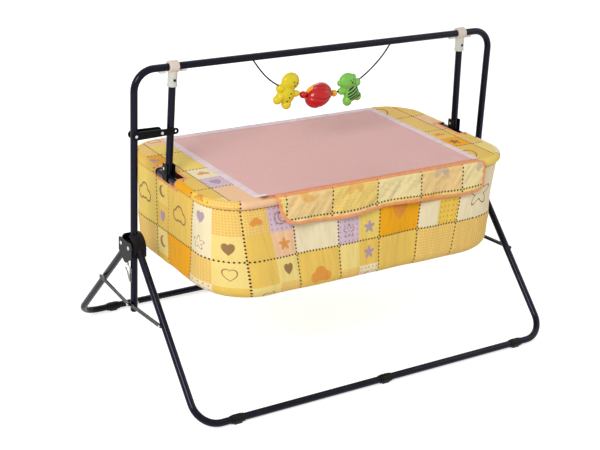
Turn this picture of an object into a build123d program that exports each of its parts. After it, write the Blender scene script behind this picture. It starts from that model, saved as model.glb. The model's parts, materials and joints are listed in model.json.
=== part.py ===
from build123d import *
import math
import os

# A hanging baby cradle: a folding tube stand, and a cloth basket that swings from its top bar.
# Millimetres. X runs along the top bar, Y from the front to the back, Z up from the floor.
# The origin is on the floor, under the middle of the cradle.

# Steel tube of the stand, the hangers and the basket's rim
TUBE_D = 19.0
TUBE_WALL = 1.2

# Gaps: a shaft that turns or slides in a hole, a pressed piece, two pieces that only lie together
RUN_GAP = 0.08
FIT_GAP = 0.1
SEAT_GAP = 0.3
CUT_OVER = 5.0

# Arch: two uprights and the top bar, bent from one tube
ARCH_HALF = 564.0
ARCH_BEND = 54.0
BAR_Z = 829.0
UPRIGHT_LOW_Z = 182.0
CAP_PLUG = 14.0
CAP_DOME = 5.5

# Leg frames: a U of tube at the front and one at the back, hinged on the housings
LEG_PIVOT_Y = 21.5
LEG_PIVOT_Z = 369.0
LEG_CORNER_Y = 366.8
LEG_BEND = 64.0
LEG_TOP_OVER = 6.0
LEG_RIVET_R = 3.2
LEG_RIVET_HEAD_R = 5.2
LEG_RIVET_HEAD_H = 2.2

# Foot sleeves on the floor bars
FOOT_IN = 108.0
FOOT_LENGTH = 36.0
FOOT_COLLAR = 7.0
FOOT_WALL = 2.8
FOOT_COLLAR_WALL = 1.8
FOOT_PAD_W = 15.0

# Braces between the uprights' lower ends and the legs
BRACE_LOW_UP = 17.5
BRACE_ON_LEG = 219.8
BRACE_W = 10.0
BRACE_DEPTH = 4.0
BRACE_WEB = 1.5
BRACE_SIDE = 1.2
BOLT_R = 3.0
BOLT_HEAD_R = 4.1
BOLT_HEAD_H = 2.6
BOLT_SHOULDER_R = 3.6

# Sliding housings that carry the legs
HOUSING_INNER = 17.0
HOUSING_EDGE = 19.0
HOUSING_OUTER = 26.0
HOUSING_WALL = 2.5
HOUSING_HALF = 38.0
HOUSING_ARC_DROP = 7.0
HOUSING_SIDE_DROP = 24.0
HOUSING_LOW_DROP = 47.0
HOUSING_LOW_HALF = 6.0
LEG_NOTCH_GAP = 0.8
COVER_TOP_UP = 14.0
COVER_SHOULDER = 5.0
COLLAR_WALL = 2.5
COLLAR_H = 15.0
COLLAR_RIB = 6.0
BOSS_R = 6.5
SLOT_SLACK = 0.6

# Spring latch under each housing
LATCH_W = 10.0
LATCH_T = 1.2
LATCH_TOP_GAP = 1.5
LATCH_HOOK_X = 17.0
LATCH_HOOK_H = 9.0
LATCH_NECK_DROP = 18.5
LATCH_H = 56.5
LATCH_LEVER_X = 19.6
LATCH_LEVER_DROP = 22.5
LATCH_EAR_X = 22.3
LATCH_EAR_DROP = 18.5
LATCH_EAR_H = 5.0
LATCH_RIVET_DROP = 36.5
LATCH_RIVET_R = 2.0
LATCH_RIVET_HEAD_R = 3.4
LATCH_RIVET_HEAD_H = 1.4

# Swing lock: a channel on the left upright whose front flange crosses the hanger tube
LOCK_DROP = 166.0
LOCK_PAST_RIM = 13.5
LOCK_ROOT_R = 11.0
LOCK_TIP_R = 8.2
LOCK_TIP_HOLE_R = 3.0
LOCK_PLATE = 2.5
LOCK_GAP = 0.4
LOCK_BOLT_BACK = 39.5
LOCK_BOLT_EDGE_R = 9.4
LOCK_WEB_BACK = 12.0
LOCK_WEB_T = 2.0

# Hanger tubes and the sleeves that turn on the top bar
HANGER_LEAN = 9.0
SLEEVE_RING_R = 16.0
SLEEVE_RING_W = 26.0
SLEEVE_SOCKET_R = 12.4
SLEEVE_DROP = 51.0
SLEEVE_FLARE_R = 13.6
SLEEVE_FLARE_H = 6.0
SLEEVE_ROUND = 2.5
SLEEVE_SCREW_DROP = 33.0
SCREW_R = 1.8
SCREW_HEAD_R = 3.6
SCREW_HEAD_H = 1.8
SCREW_DEPTH = 6.0
STOP_OFFSET = 29.0
STOP_LENGTH = 18.0
STOP_W = 9.0
STOP_DROP = 5.5
STOP_ROUND = 2.4

# Basket rim
RIM_SIDE_GAP = 98.0
RIM_HALF_W = 260.0
RIM_CORNER = 104.0
RIM_DROP = 294.0
BRACKET_T = 3.0
BRACKET_W = 24.0
BRACKET_EAR = 38.0
BRACKET_NOTCH_GAP = 1.0
BRACKET_GAP = 0.2
BRACKET_BOLT_UP = 27.0
BRACKET_SCREW_UP = 15.0
HANGER_END_GAP = 0.7

# Basket cloth
CLOTH_T = 1.5
SLEEVE_CLOTH_T = 1.4
RIM_SLIT_HALF = 54.0
TUB_INSET = 1.0
TUB_DRAW = 1.0
TUB_FLARE = 26.0
TUB_CORNER = 158.0
TUB_DEPTH = 256.0
TUB_EDGE = 30.0

# Base board and mattress
BOARD_T = 4.0
BOARD_INSET = 34.0
MATTRESS_T = 42.0
MATTRESS_INSET = 24.0
MATTRESS_ROUND = 14.0
MATTRESS_CROWN = 8.0
MATTRESS_CROWN_INSET = 130.0

# Top cover: printed ends and back band, net, zip and hanging flap
COVER_T = 1.2
COVER_LIP = 6.0
COVER_SLIT_IN = 24.0
END_PANEL_L = 121.0
BAND_W = 10.0
NET_T = 0.8
SEAM_GAP = 0.2
ZIP_CHAIN_W = 5.0
ZIP_CHAIN_H = 1.6
ZIP_END = 12.0
SLIDER_L = 13.0
SLIDER_W = 9.0
SLIDER_H = 4.0
SLIDER_ROUND = 1.2
PULL_L = 26.0
PULL_W = 6.0
PULL_T = 1.6
FLAP_LEFT_IN = 181.0
FLAP_RIGHT_IN = 98.0
FLAP_DROP = 63.0
FLAP_TOP_UP = 5.0
FLAP_JOIN = 1.0
FLAP_BEND_STEPS = 6
FLAP_T = 1.2
FLAP_FOLDS = 7
FLAP_TOP_BOW = 0.2
FLAP_LOW_BOW = 4.0
FLAP_CORNER = 30.0

# Toy string under the top bar: x of the cord's route and how far it lies below the bar
CORD_D = 4.0
CORD_KNOT_R = 3.6
CORD_ARC_SHARE = 0.45
CORD_ROUTE = [
    (-224.7, 7.7), (-214.0, 22.4), (-200.5, 39.0), (-182.5, 58.5), (-156.0, 79.5),
    (-116.0, 100.0), (-70.0, 118.5), (-20.0, 127.0), (30.0, 128.5), (72.0, 118.0),
    (116.0, 98.0), (149.0, 75.5), (179.0, 49.0), (199.0, 26.5), (211.8, 7.7),
]
TOY_BORE_GAP = 0.3

# Toys: a height or width, the middle's x and its drop, and the ovals that make the form. Each oval is a
# row of shares of that height or width: its x and z from the middle, then its half sizes
BEAR_H = 100.0
BEAR_X = -117.7
BEAR_DROP = 113.0
BUG_H = 95.0
BUG_X = 91.1
BUG_DROP = 132.2
FRUIT_W = 80.0
FRUIT_X = -17.0
FRUIT_DROP = 127.0
BEAR_OVAL_SHARES = [
    (0.104, 0.345, 0.27, 0.15, 0.247),
    (0, 0, 0.242, 0.15, 0.268),
    (-0.196, 0.188, 0.138, 0.119, 0.122),
    (0.276, -0.005, 0.142, 0.091, 0.093),
    (-0.265, -0.12, 0.141, 0.141, 0.144),
    (-0.003, -0.271, 0.134, 0.134, 0.137),
]
BUG_OVAL_SHARES = [
    (-0.157, 0.355, 0.267, 0.158, 0.249),
    (0, 0, 0.249, 0.158, 0.26),
    (-0.394, 0.32, 0.1, 0.092, 0.095),
    (0.046, 0.472, 0.081, 0.081, 0.089),
    (-0.319, 0.082, 0.149, 0.109, 0.113),
    (0.188, 0.292, 0.104, 0.104, 0.12),
    (-0.123, -0.231, 0.139, 0.139, 0.156),
    (0.213, -0.118, 0.128, 0.128, 0.144),
]
FRUIT_OVAL_SHARES = [
    (0.095, 0.084, 0.305, 0.305, 0.312),
    (0.227, -0.1, 0.261, 0.237, 0.244),
    (-0.164, -0.099, 0.291, 0.291, 0.305),
]
LEAF_OVAL_SHARES = [
    (-0.263, 0.206, 0.212, 0.075, 0.138),
]
BEAD_X = -65.5
BEAD_DROP = 120.0
BEAD_R = 10.0
SMALL_BEAD_X = 34.0
SMALL_BEAD_DROP = 127.5
SMALL_BEAD_R = 9.5

# Values that follow from the sizes above
TUBE_R = TUBE_D / 2
TUBE_BORE_R = TUBE_R - TUBE_WALL
FLOOR_BAR_Z = TUBE_R + FOOT_WALL
FOOT_X = ARCH_HALF - FOOT_IN
BRACE_LOW_Z = UPRIGHT_LOW_Z + BRACE_LOW_UP
HOUSING_ARC_Z = LEG_PIVOT_Z - HOUSING_ARC_DROP
HOUSING_SIDE_Z = LEG_PIVOT_Z - HOUSING_SIDE_DROP
HOUSING_LOW_Z = LEG_PIVOT_Z - HOUSING_LOW_DROP
COVER_TOP_Z = LEG_PIVOT_Z + COVER_TOP_UP
LATCH_TOP_Z = HOUSING_LOW_Z - LATCH_TOP_GAP
LATCH_NECK_Z = LATCH_TOP_Z - LATCH_NECK_DROP
LATCH_LOW_Z = LATCH_TOP_Z - LATCH_H
LATCH_LEVER_Z = LATCH_TOP_Z - LATCH_LEVER_DROP
LATCH_EAR_Z = LATCH_TOP_Z - LATCH_EAR_DROP
LATCH_RIVET_Z = LATCH_TOP_Z - LATCH_RIVET_DROP
RIM_HALF_L = ARCH_HALF - RIM_SIDE_GAP
RIM_Z = BAR_Z - RIM_DROP
HANGER_X = RIM_HALF_L - HANGER_LEAN
LOCK_Z = BAR_Z - LOCK_DROP
LOCK_REACH = RIM_SIDE_GAP + LOCK_PAST_RIM
LOCK_BOLT_REACH = LOCK_REACH - LOCK_BOLT_BACK
LOCK_WEB_END = LOCK_BOLT_REACH - LOCK_WEB_BACK
SLEEVE_LOW_Z = BAR_Z - SLEEVE_DROP
SLEEVE_SCREW_Z = BAR_Z - SLEEVE_SCREW_DROP
TUB_HALF_L = RIM_HALF_L - TUB_DRAW
TUB_HALF_W = RIM_HALF_W + TUB_FLARE
TUB_LOW_Z = RIM_Z - TUB_DEPTH
NET_HALF_L = RIM_HALF_L - END_PANEL_L
NET_HALF_W = RIM_HALF_W - BAND_W
FLAP_LEFT_X = FLAP_LEFT_IN - RIM_HALF_L
FLAP_RIGHT_X = RIM_HALF_L - FLAP_RIGHT_IN
FLAP_LOW_Z = RIM_Z - FLAP_DROP
SLEEVE_CLOTH_R = TUBE_R + SEAT_GAP + SLEEVE_CLOTH_T
COVER_Z = RIM_Z + SLEEVE_CLOTH_R + SEAT_GAP
CORD_R = CORD_D / 2
LEG_RUN = Vector(0, LEG_CORNER_Y - LEG_PIVOT_Y, FLOOR_BAR_Z - LEG_PIVOT_Z)
LEG_DIR = LEG_RUN.normalized()
BRACE_OUT_Y = LEG_PIVOT_Y + LEG_DIR.Y * BRACE_ON_LEG
BRACE_OUT_Z = LEG_PIVOT_Z + LEG_DIR.Z * BRACE_ON_LEG
FRONT_BRACE_X = TUBE_R + SEAT_GAP
REAR_BRACE_X = FRONT_BRACE_X + BRACE_DEPTH + SEAT_GAP
HANGER_DIR = Vector(RIM_HALF_L - HANGER_X, 0, RIM_Z - BAR_Z).normalized()

BASE = (Align.CENTER, Align.CENTER, Align.MIN)
SIDES = (-1, 1)
parts = {}


def keep(name, *solids):
    """Name a sub-part; several loose solids stay one group."""
    parts[name] = solids[0] if len(solids) == 1 else Compound(children=list(solids))


def rod(start, end, radius):
    """A round bar from one point to another."""
    start, end = Vector(*start), Vector(*end)
    run = end - start
    return Plane(origin=start, z_dir=run) * Cylinder(radius, run.length, align=BASE)


def swept_tube(path, radius, bore=0.0):
    """A tube that follows a path."""
    section = Circle(radius) - Circle(bore) if bore else Circle(radius)
    return sweep(Plane(origin=path @ 0, z_dir=path % 0) * section, path=path)


def hex_bolt(head_at, end_at, radius, head_r, head_h):
    """A bolt: its hexagon head lies outside head_at, its shank runs to end_at."""
    run = Vector(*end_at) - Vector(*head_at)
    body = Cylinder(radius, run.length, align=BASE)
    body += Pos(0, 0, -head_h) * extrude(RegularPolygon(head_r, 6), head_h)
    return Plane(origin=head_at, z_dir=run) * body


def hex_nut(at, direction, bore, head_r, height):
    """A nut that starts at a point and stands along a direction."""
    body = extrude(RegularPolygon(head_r, 6) - Circle(bore), height)
    return Plane(origin=at, z_dir=direction) * body


def round_head(radius, height):
    """The domed head of a rivet or screw, with its flat side down."""
    head = Cylinder(radius, height, align=BASE)
    return fillet(head.edges().group_by(Axis.Z)[-1], height / 2)


def rivet(head_at, end_at, radius, head_r, head_h, tail=True):
    """A rivet with a domed head, and a second one at its far end where tail is true."""
    run = Vector(*end_at) - Vector(*head_at)
    body = Cylinder(radius, run.length, align=BASE)
    body += Rot(180, 0, 0) * round_head(head_r, head_h)
    if tail:
        body += Pos(0, 0, run.length) * round_head(head_r, head_h)
    return Plane(origin=head_at, z_dir=run) * body


def strip(points, thickness):
    """A bent strip's outline, from the points of its middle line."""
    half = thickness / 2
    normals = []
    for (x0, y0), (x1, y1) in zip(points, points[1:]):
        length = math.hypot(x1 - x0, y1 - y0)
        normals.append((-(y1 - y0) / length, (x1 - x0) / length))
    sides = []
    for i, (x, y) in enumerate(points):
        a = normals[max(i - 1, 0)]
        b = normals[min(i, len(normals) - 1)]
        mx, my = a[0] + b[0], a[1] + b[1]
        reach = half * 2 / (mx * mx + my * my)
        sides.append(((x + mx * reach, y + my * reach), (x - mx * reach, y - my * reach)))
    return make_face(Polyline([s[0] for s in sides] + [s[1] for s in reversed(sides)], close=True))


def rounded_plate(half_l, half_w, corner, z, height):
    """A flat plate with round corners, its lower face at z."""
    return Pos(0, 0, z) * extrude(RectangleRounded(2 * half_l, 2 * half_w, corner), height)


def upright_side(side, *distances):
    """X of planes at these distances outside an upright's centre line."""
    return [side * (ARCH_HALF + d) for d in distances]


def make_arch():
    corners = [(-ARCH_HALF, 0, UPRIGHT_LOW_Z), (-ARCH_HALF, 0, BAR_Z),
               (ARCH_HALF, 0, BAR_Z), (ARCH_HALF, 0, UPRIGHT_LOW_Z)]
    tube = swept_tube(FilletPolyline(corners, radius=ARCH_BEND), TUBE_R, TUBE_BORE_R)
    for side in SIDES:
        near, far, rivet_in, rivet_out = upright_side(side, -TUBE_D, TUBE_D, 0, TUBE_D)
        tube -= rod((near, 0, BRACE_LOW_Z), (far, 0, BRACE_LOW_Z), BOLT_R + FIT_GAP)
        tube -= rod((rivet_in, 0, LATCH_RIVET_Z), (rivet_out, 0, LATCH_RIVET_Z), LATCH_RIVET_R + FIT_GAP)
    tube -= rod((-ARCH_HALF, -TUBE_D, LOCK_Z), (-ARCH_HALF, TUBE_D, LOCK_Z), BOLT_R + FIT_GAP)
    for middle in knot_places():
        tube -= Pos(middle) * Sphere(CORD_KNOT_R + RUN_GAP)
    keep("arch_tube", tube)


def make_end_caps():
    caps = []
    for side in SIDES:
        plug = Pos(0, 0, UPRIGHT_LOW_Z) * Cylinder(TUBE_BORE_R - FIT_GAP, CAP_PLUG, align=BASE)
        dome = Cylinder(TUBE_R, CAP_DOME, align=BASE)
        dome = fillet(dome.edges().group_by(Axis.Z)[0], CAP_DOME - TUBE_WALL)
        caps.append(Pos(side * ARCH_HALF, 0, 0) * (plug + Pos(0, 0, UPRIGHT_LOW_Z - CAP_DOME) * dome))
    keep("upright_end_caps", *caps)


def make_brace_pivots():
    pieces = []
    head_at = REAR_BRACE_X + BRACE_DEPTH + FIT_GAP
    nut_at = -TUBE_R
    for side in SIDES:
        head_x, nut_x, end_x = upright_side(side, head_at, nut_at, nut_at - BOLT_HEAD_H)
        pieces.append(hex_bolt((head_x, 0, BRACE_LOW_Z), (end_x, 0, BRACE_LOW_Z),
                               BOLT_R, BOLT_HEAD_R, BOLT_HEAD_H))
        pieces.append(hex_nut((nut_x, 0, BRACE_LOW_Z), (-side, 0, 0),
                              BOLT_R + FIT_GAP, BOLT_HEAD_R, BOLT_HEAD_H))
    keep("brace_pivot_bolts", *pieces)


def make_leg_frame(name, side):
    top = Vector(0, side * (LEG_PIVOT_Y - LEG_DIR.Y * LEG_TOP_OVER), LEG_PIVOT_Z - LEG_DIR.Z * LEG_TOP_OVER)
    corners = [(-ARCH_HALF, top.Y, top.Z), (-ARCH_HALF, side * LEG_CORNER_Y, FLOOR_BAR_Z),
               (ARCH_HALF, side * LEG_CORNER_Y, FLOOR_BAR_Z), (ARCH_HALF, top.Y, top.Z)]
    tube = swept_tube(FilletPolyline(corners, radius=LEG_BEND), TUBE_R, TUBE_BORE_R)
    for end in SIDES:
        near, far = upright_side(end, -TUBE_D, TUBE_D)
        tube -= rod((near, side * LEG_PIVOT_Y, LEG_PIVOT_Z), (far, side * LEG_PIVOT_Y, LEG_PIVOT_Z),
                    LEG_RIVET_R + RUN_GAP)
    keep(f"{name}_leg_frame", tube)


def make_feet(name, side):
    for place, x in (("left", -FOOT_X), ("middle", 0.0), ("right", FOOT_X)):
        outer_r = TUBE_R + FOOT_WALL
        body = Cylinder(outer_r, FOOT_LENGTH - 2 * FOOT_COLLAR)
        body += Cylinder(TUBE_R + FOOT_COLLAR_WALL, FOOT_LENGTH)
        body = Rot(0, 90, 0) * body
        pad = Box(FOOT_LENGTH - 2 * FOOT_COLLAR, FOOT_PAD_W, FLOOR_BAR_Z,
                  align=(Align.CENTER, Align.CENTER, Align.MAX))
        body += pad
        body -= Rot(0, 90, 0) * Cylinder(TUBE_R + FIT_GAP, FOOT_LENGTH + CUT_OVER)
        keep(f"{name}_foot_{place}", Pos(x, side * LEG_CORNER_Y, FLOOR_BAR_Z) * body)


def make_braces(name, side, inner_x):
    run = Vector(0, side * BRACE_OUT_Y, BRACE_OUT_Z - BRACE_LOW_Z)
    length = run.length
    bolts = []
    for word, end in (("left", -1), ("right", 1)):
        link = extrude(SlotCenterToCenter(length, BRACE_W), BRACE_DEPTH)
        link -= extrude(SlotCenterToCenter(length, BRACE_W - 2 * BRACE_SIDE), BRACE_DEPTH - BRACE_WEB)
        link -= Pos(-length / 2, 0, 0) * Cylinder(BOLT_R + RUN_GAP, BRACE_DEPTH + CUT_OVER)
        link -= Pos(length / 2, 0, 0) * Cylinder(BOLT_R + FIT_GAP, BRACE_DEPTH + CUT_OVER)
        inner, face_x, web_x, head_x = upright_side(
            end, inner_x, FRONT_BRACE_X, inner_x + BRACE_DEPTH - BRACE_WEB, inner_x + BRACE_DEPTH)
        middle = Vector(inner, run.Y / 2, BRACE_LOW_Z + run.Z / 2)
        keep(f"{name}_brace_{word}", Plane(origin=middle, x_dir=run, z_dir=(end, 0, 0)) * link)
        out = (side * BRACE_OUT_Y, BRACE_OUT_Z)
        bolt = hex_bolt((head_x, *out), (face_x, *out), BOLT_R, BOLT_HEAD_R, BOLT_HEAD_H)
        bolt += rod((face_x, *out), (web_x, *out), BOLT_SHOULDER_R)
        bolts.append(bolt)
    keep(f"{name}_brace_bolts", *bolts)


def housing_outline(half, top_arc, low):
    """Side view of a housing: a half round over straight sides, open or faceted below."""
    arc = ThreePointArc((half, HOUSING_ARC_Z), (0, HOUSING_ARC_Z + top_arc), (-half, HOUSING_ARC_Z))
    points = [(-half, HOUSING_ARC_Z), *low, (half, HOUSING_ARC_Z)]
    return make_face([arc, *Polyline(points).edges()])


def yz_extrude(face, x_from, x_to):
    """Extrude a face drawn in Y and Z between two X planes."""
    low, high = min(x_from, x_to), max(x_from, x_to)
    return extrude(Plane(origin=(low, 0, 0), x_dir=(0, 1, 0), z_dir=(1, 0, 0)) * face, high - low)


def make_housing(word, side):
    inner, edge, cover_in, outer = upright_side(side, -HOUSING_INNER, HOUSING_EDGE,
                                                HOUSING_OUTER - HOUSING_WALL, HOUSING_OUTER)
    cavity_in, cavity_out = upright_side(side, HOUSING_WALL - HOUSING_INNER, HOUSING_EDGE + CUT_OVER)
    low = [(-HOUSING_HALF, HOUSING_SIDE_Z), (-HOUSING_LOW_HALF, HOUSING_LOW_Z),
           (HOUSING_LOW_HALF, HOUSING_LOW_Z), (HOUSING_HALF, HOUSING_SIDE_Z)]
    shell = yz_extrude(housing_outline(HOUSING_HALF, HOUSING_HALF, low), inner, edge)
    room_half = HOUSING_HALF - HOUSING_WALL
    room_low = [(-room_half, HOUSING_SIDE_Z), (-HOUSING_HALF - CUT_OVER, HOUSING_SIDE_Z),
                (-HOUSING_HALF - CUT_OVER, HOUSING_LOW_Z - CUT_OVER),
                (HOUSING_HALF + CUT_OVER, HOUSING_LOW_Z - CUT_OVER),
                (HOUSING_HALF + CUT_OVER, HOUSING_SIDE_Z), (room_half, HOUSING_SIDE_Z)]
    shell -= yz_extrude(housing_outline(room_half, room_half, room_low), cavity_in, cavity_out)
    arc_top = HOUSING_ARC_Z + HOUSING_HALF
    collar_low = arc_top - HOUSING_WALL - COLLAR_H
    collar = Pos(side * ARCH_HALF, 0, collar_low) * Cylinder(
        TUBE_R + COLLAR_WALL, COLLAR_H + HOUSING_WALL / 2, align=BASE)
    rib = Pos(side * (ARCH_HALF - HOUSING_INNER + HOUSING_WALL / 2), 0, collar_low) * Box(
        HOUSING_INNER, COLLAR_RIB, COLLAR_H, align=BASE)
    room_top = yz_extrude(housing_outline(HOUSING_HALF, HOUSING_HALF, low), inner, edge)
    shell += (collar + rib) & room_top
    shell -= Pos(side * ARCH_HALF, 0, HOUSING_LOW_Z) * Cylinder(
        TUBE_R + RUN_GAP, BAR_Z - HOUSING_LOW_Z, align=BASE)
    slot_w = TUBE_D + 2 * SLOT_SLACK
    slot = Pos(side * (ARCH_HALF + TUBE_D), 0, LEG_PIVOT_Z) * Box(
        2 * TUBE_D, slot_w, 2 * HOUSING_HALF, align=BASE)
    shell -= slot
    notch_r = TUBE_R + LEG_NOTCH_GAP
    for way in SIDES:
        pivot = Vector(side * ARCH_HALF, way * LEG_PIVOT_Y, LEG_PIVOT_Z)
        along = Vector(0, way * LEG_DIR.Y, LEG_DIR.Z)
        wall = pivot + along * (HOUSING_HALF - LEG_PIVOT_Y) / LEG_DIR.Y
        shell -= rod(pivot, wall + along * HOUSING_HALF, notch_r)
        shell -= Pos(side * ARCH_HALF, way * HOUSING_HALF, wall.Z) * Box(
            2 * notch_r, 4 * HOUSING_WALL, HOUSING_HALF, align=(Align.CENTER, Align.CENTER, Align.MAX))
    half_cover = [(-HOUSING_HALF + COVER_SHOULDER, COVER_TOP_Z), (-HOUSING_HALF, COVER_TOP_Z - COVER_SHOULDER),
                  (-HOUSING_HALF, HOUSING_SIDE_Z), (-HOUSING_LOW_HALF, HOUSING_LOW_Z)]
    outline = half_cover + [(-y, z) for y, z in reversed(half_cover)]
    cover = yz_extrude(make_face(Polyline(outline, close=True)), cover_in, outer)
    boss_in, boss_out, inner_in, inner_out = upright_side(
        side, TUBE_R + SEAT_GAP, HOUSING_OUTER - HOUSING_WALL / 2,
        -HOUSING_INNER + HOUSING_WALL / 2, -TUBE_R - SEAT_GAP)
    rivets = []
    for y in (-LEG_PIVOT_Y, LEG_PIVOT_Y):
        cover += rod((boss_in, y, LEG_PIVOT_Z), (boss_out, y, LEG_PIVOT_Z), BOSS_R)
        shell += rod((inner_in, y, LEG_PIVOT_Z), (inner_out, y, LEG_PIVOT_Z), BOSS_R)
        hole = rod((inner - side * CUT_OVER, y, LEG_PIVOT_Z), (outer + side * CUT_OVER, y, LEG_PIVOT_Z),
                   LEG_RIVET_R + FIT_GAP)
        cover -= hole
        shell -= hole
        rivets.append(rivet((outer, y, LEG_PIVOT_Z), (inner, y, LEG_PIVOT_Z),
                            LEG_RIVET_R, LEG_RIVET_HEAD_R, LEG_RIVET_HEAD_H))
    shell -= Pos(side * ARCH_HALF, 0, HOUSING_LOW_Z) * Cylinder(
        TUBE_R + RUN_GAP, BAR_Z - HOUSING_LOW_Z, align=BASE)
    keep(f"housing_shell_{word}", shell)
    keep(f"housing_cover_{word}", cover)
    return rivets


def make_latches():
    middle_x = TUBE_R + SEAT_GAP + LATCH_T / 2
    base_points = [(LATCH_HOOK_X, LATCH_TOP_Z), (LATCH_HOOK_X, LATCH_TOP_Z - LATCH_HOOK_H),
                   (middle_x, LATCH_NECK_Z), (middle_x, LATCH_LOW_Z)]
    lever_x = middle_x + LATCH_T + SEAT_GAP
    lever_points = [(lever_x, LATCH_LOW_Z), (LATCH_LEVER_X, LATCH_LEVER_Z),
                    (LATCH_EAR_X, LATCH_EAR_Z), (LATCH_EAR_X, LATCH_EAR_Z + LATCH_EAR_H)]
    rivets = []
    for word, side in (("left", -1), ("right", 1)):
        for name, points in (("latch_base", base_points), ("latch_lever", lever_points)):
            outline = [(side * (ARCH_HALF + x), z) for x, z in points]
            sheet = extrude(Plane.XZ * strip(outline, LATCH_T), LATCH_W / 2, both=True)
            if name == "latch_base":
                in_x, out_x = upright_side(side, 0, TUBE_D)
                sheet -= rod((in_x, 0, LATCH_RIVET_Z), (out_x, 0, LATCH_RIVET_Z), LATCH_RIVET_R + FIT_GAP)
            keep(f"{name}_{word}", sheet)
        head_x, end_x = upright_side(side, middle_x + LATCH_T / 2, TUBE_BORE_R)
        rivets.append(rivet((head_x, 0, LATCH_RIVET_Z), (end_x, 0, LATCH_RIVET_Z),
                            LATCH_RIVET_R, LATCH_RIVET_HEAD_R, LATCH_RIVET_HEAD_H, tail=False))
    keep("latch_rivets", *rivets)


def make_lock():
    def flange(reach, end_r, y_from, y_to):
        outline = Circle(LOCK_ROOT_R) + Pos(reach, 0) * Circle(end_r)
        face = make_hull(outline.edges())
        plane = Plane(origin=(-ARCH_HALF, max(y_from, y_to), LOCK_Z), x_dir=(1, 0, 0), z_dir=(0, -1, 0))
        return extrude(plane * face, abs(y_to - y_from))

    near = TUBE_R + LOCK_GAP
    far = near + LOCK_PLATE
    bar = flange(LOCK_REACH, LOCK_TIP_R, -near, -far)
    bar += flange(LOCK_BOLT_REACH, LOCK_BOLT_EDGE_R, near, far)
    web_start = TUBE_R + LOCK_GAP
    web_lean = (LOCK_ROOT_R - LOCK_BOLT_EDGE_R) / LOCK_BOLT_REACH
    web_low = LOCK_ROOT_R - web_lean * web_start - LOCK_PLATE / 2
    bar += Pos(-ARCH_HALF + web_start, 0, LOCK_Z - web_low) * Box(
        LOCK_WEB_END - web_start, 2 * near + LOCK_PLATE, LOCK_WEB_T, align=(Align.MIN, Align.CENTER, Align.MIN))
    bolt_x = -ARCH_HALF + LOCK_BOLT_REACH
    tip_x = -ARCH_HALF + LOCK_REACH
    bar -= rod((-ARCH_HALF, -TUBE_D, LOCK_Z), (-ARCH_HALF, TUBE_D, LOCK_Z), BOLT_R + RUN_GAP)
    bar -= rod((bolt_x, -TUBE_D, LOCK_Z), (bolt_x, TUBE_D, LOCK_Z), BOLT_R + FIT_GAP)
    bar -= rod((tip_x, -TUBE_D, LOCK_Z), (tip_x, TUBE_D, LOCK_Z), LOCK_TIP_HOLE_R)
    keep("lock_bar", bar)
    head_y = far + LOCK_GAP
    end_y = head_y + BOLT_HEAD_H
    for name, x, y in (("lock_pivot_bolt", -ARCH_HALF, head_y), ("lock_stop_bolt", bolt_x, far)):
        bolt = hex_bolt((x, -y, LOCK_Z), (x, end_y, LOCK_Z), BOLT_R, BOLT_HEAD_R, BOLT_HEAD_H)
        nut = hex_nut((x, y, LOCK_Z), (0, 1, 0), BOLT_R + FIT_GAP, BOLT_HEAD_R, BOLT_HEAD_H)
        keep(name, bolt, nut)


def hanger_plane(side, down):
    """A frame on a hanger's axis, this far below the top bar, with Z along the tube, downwards."""
    direction = Vector(side * HANGER_DIR.X, 0, HANGER_DIR.Z)
    origin = Vector(side * HANGER_X, 0, BAR_Z) + direction * down
    return Plane(origin=origin, x_dir=(0, 1, 0), z_dir=direction)


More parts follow.
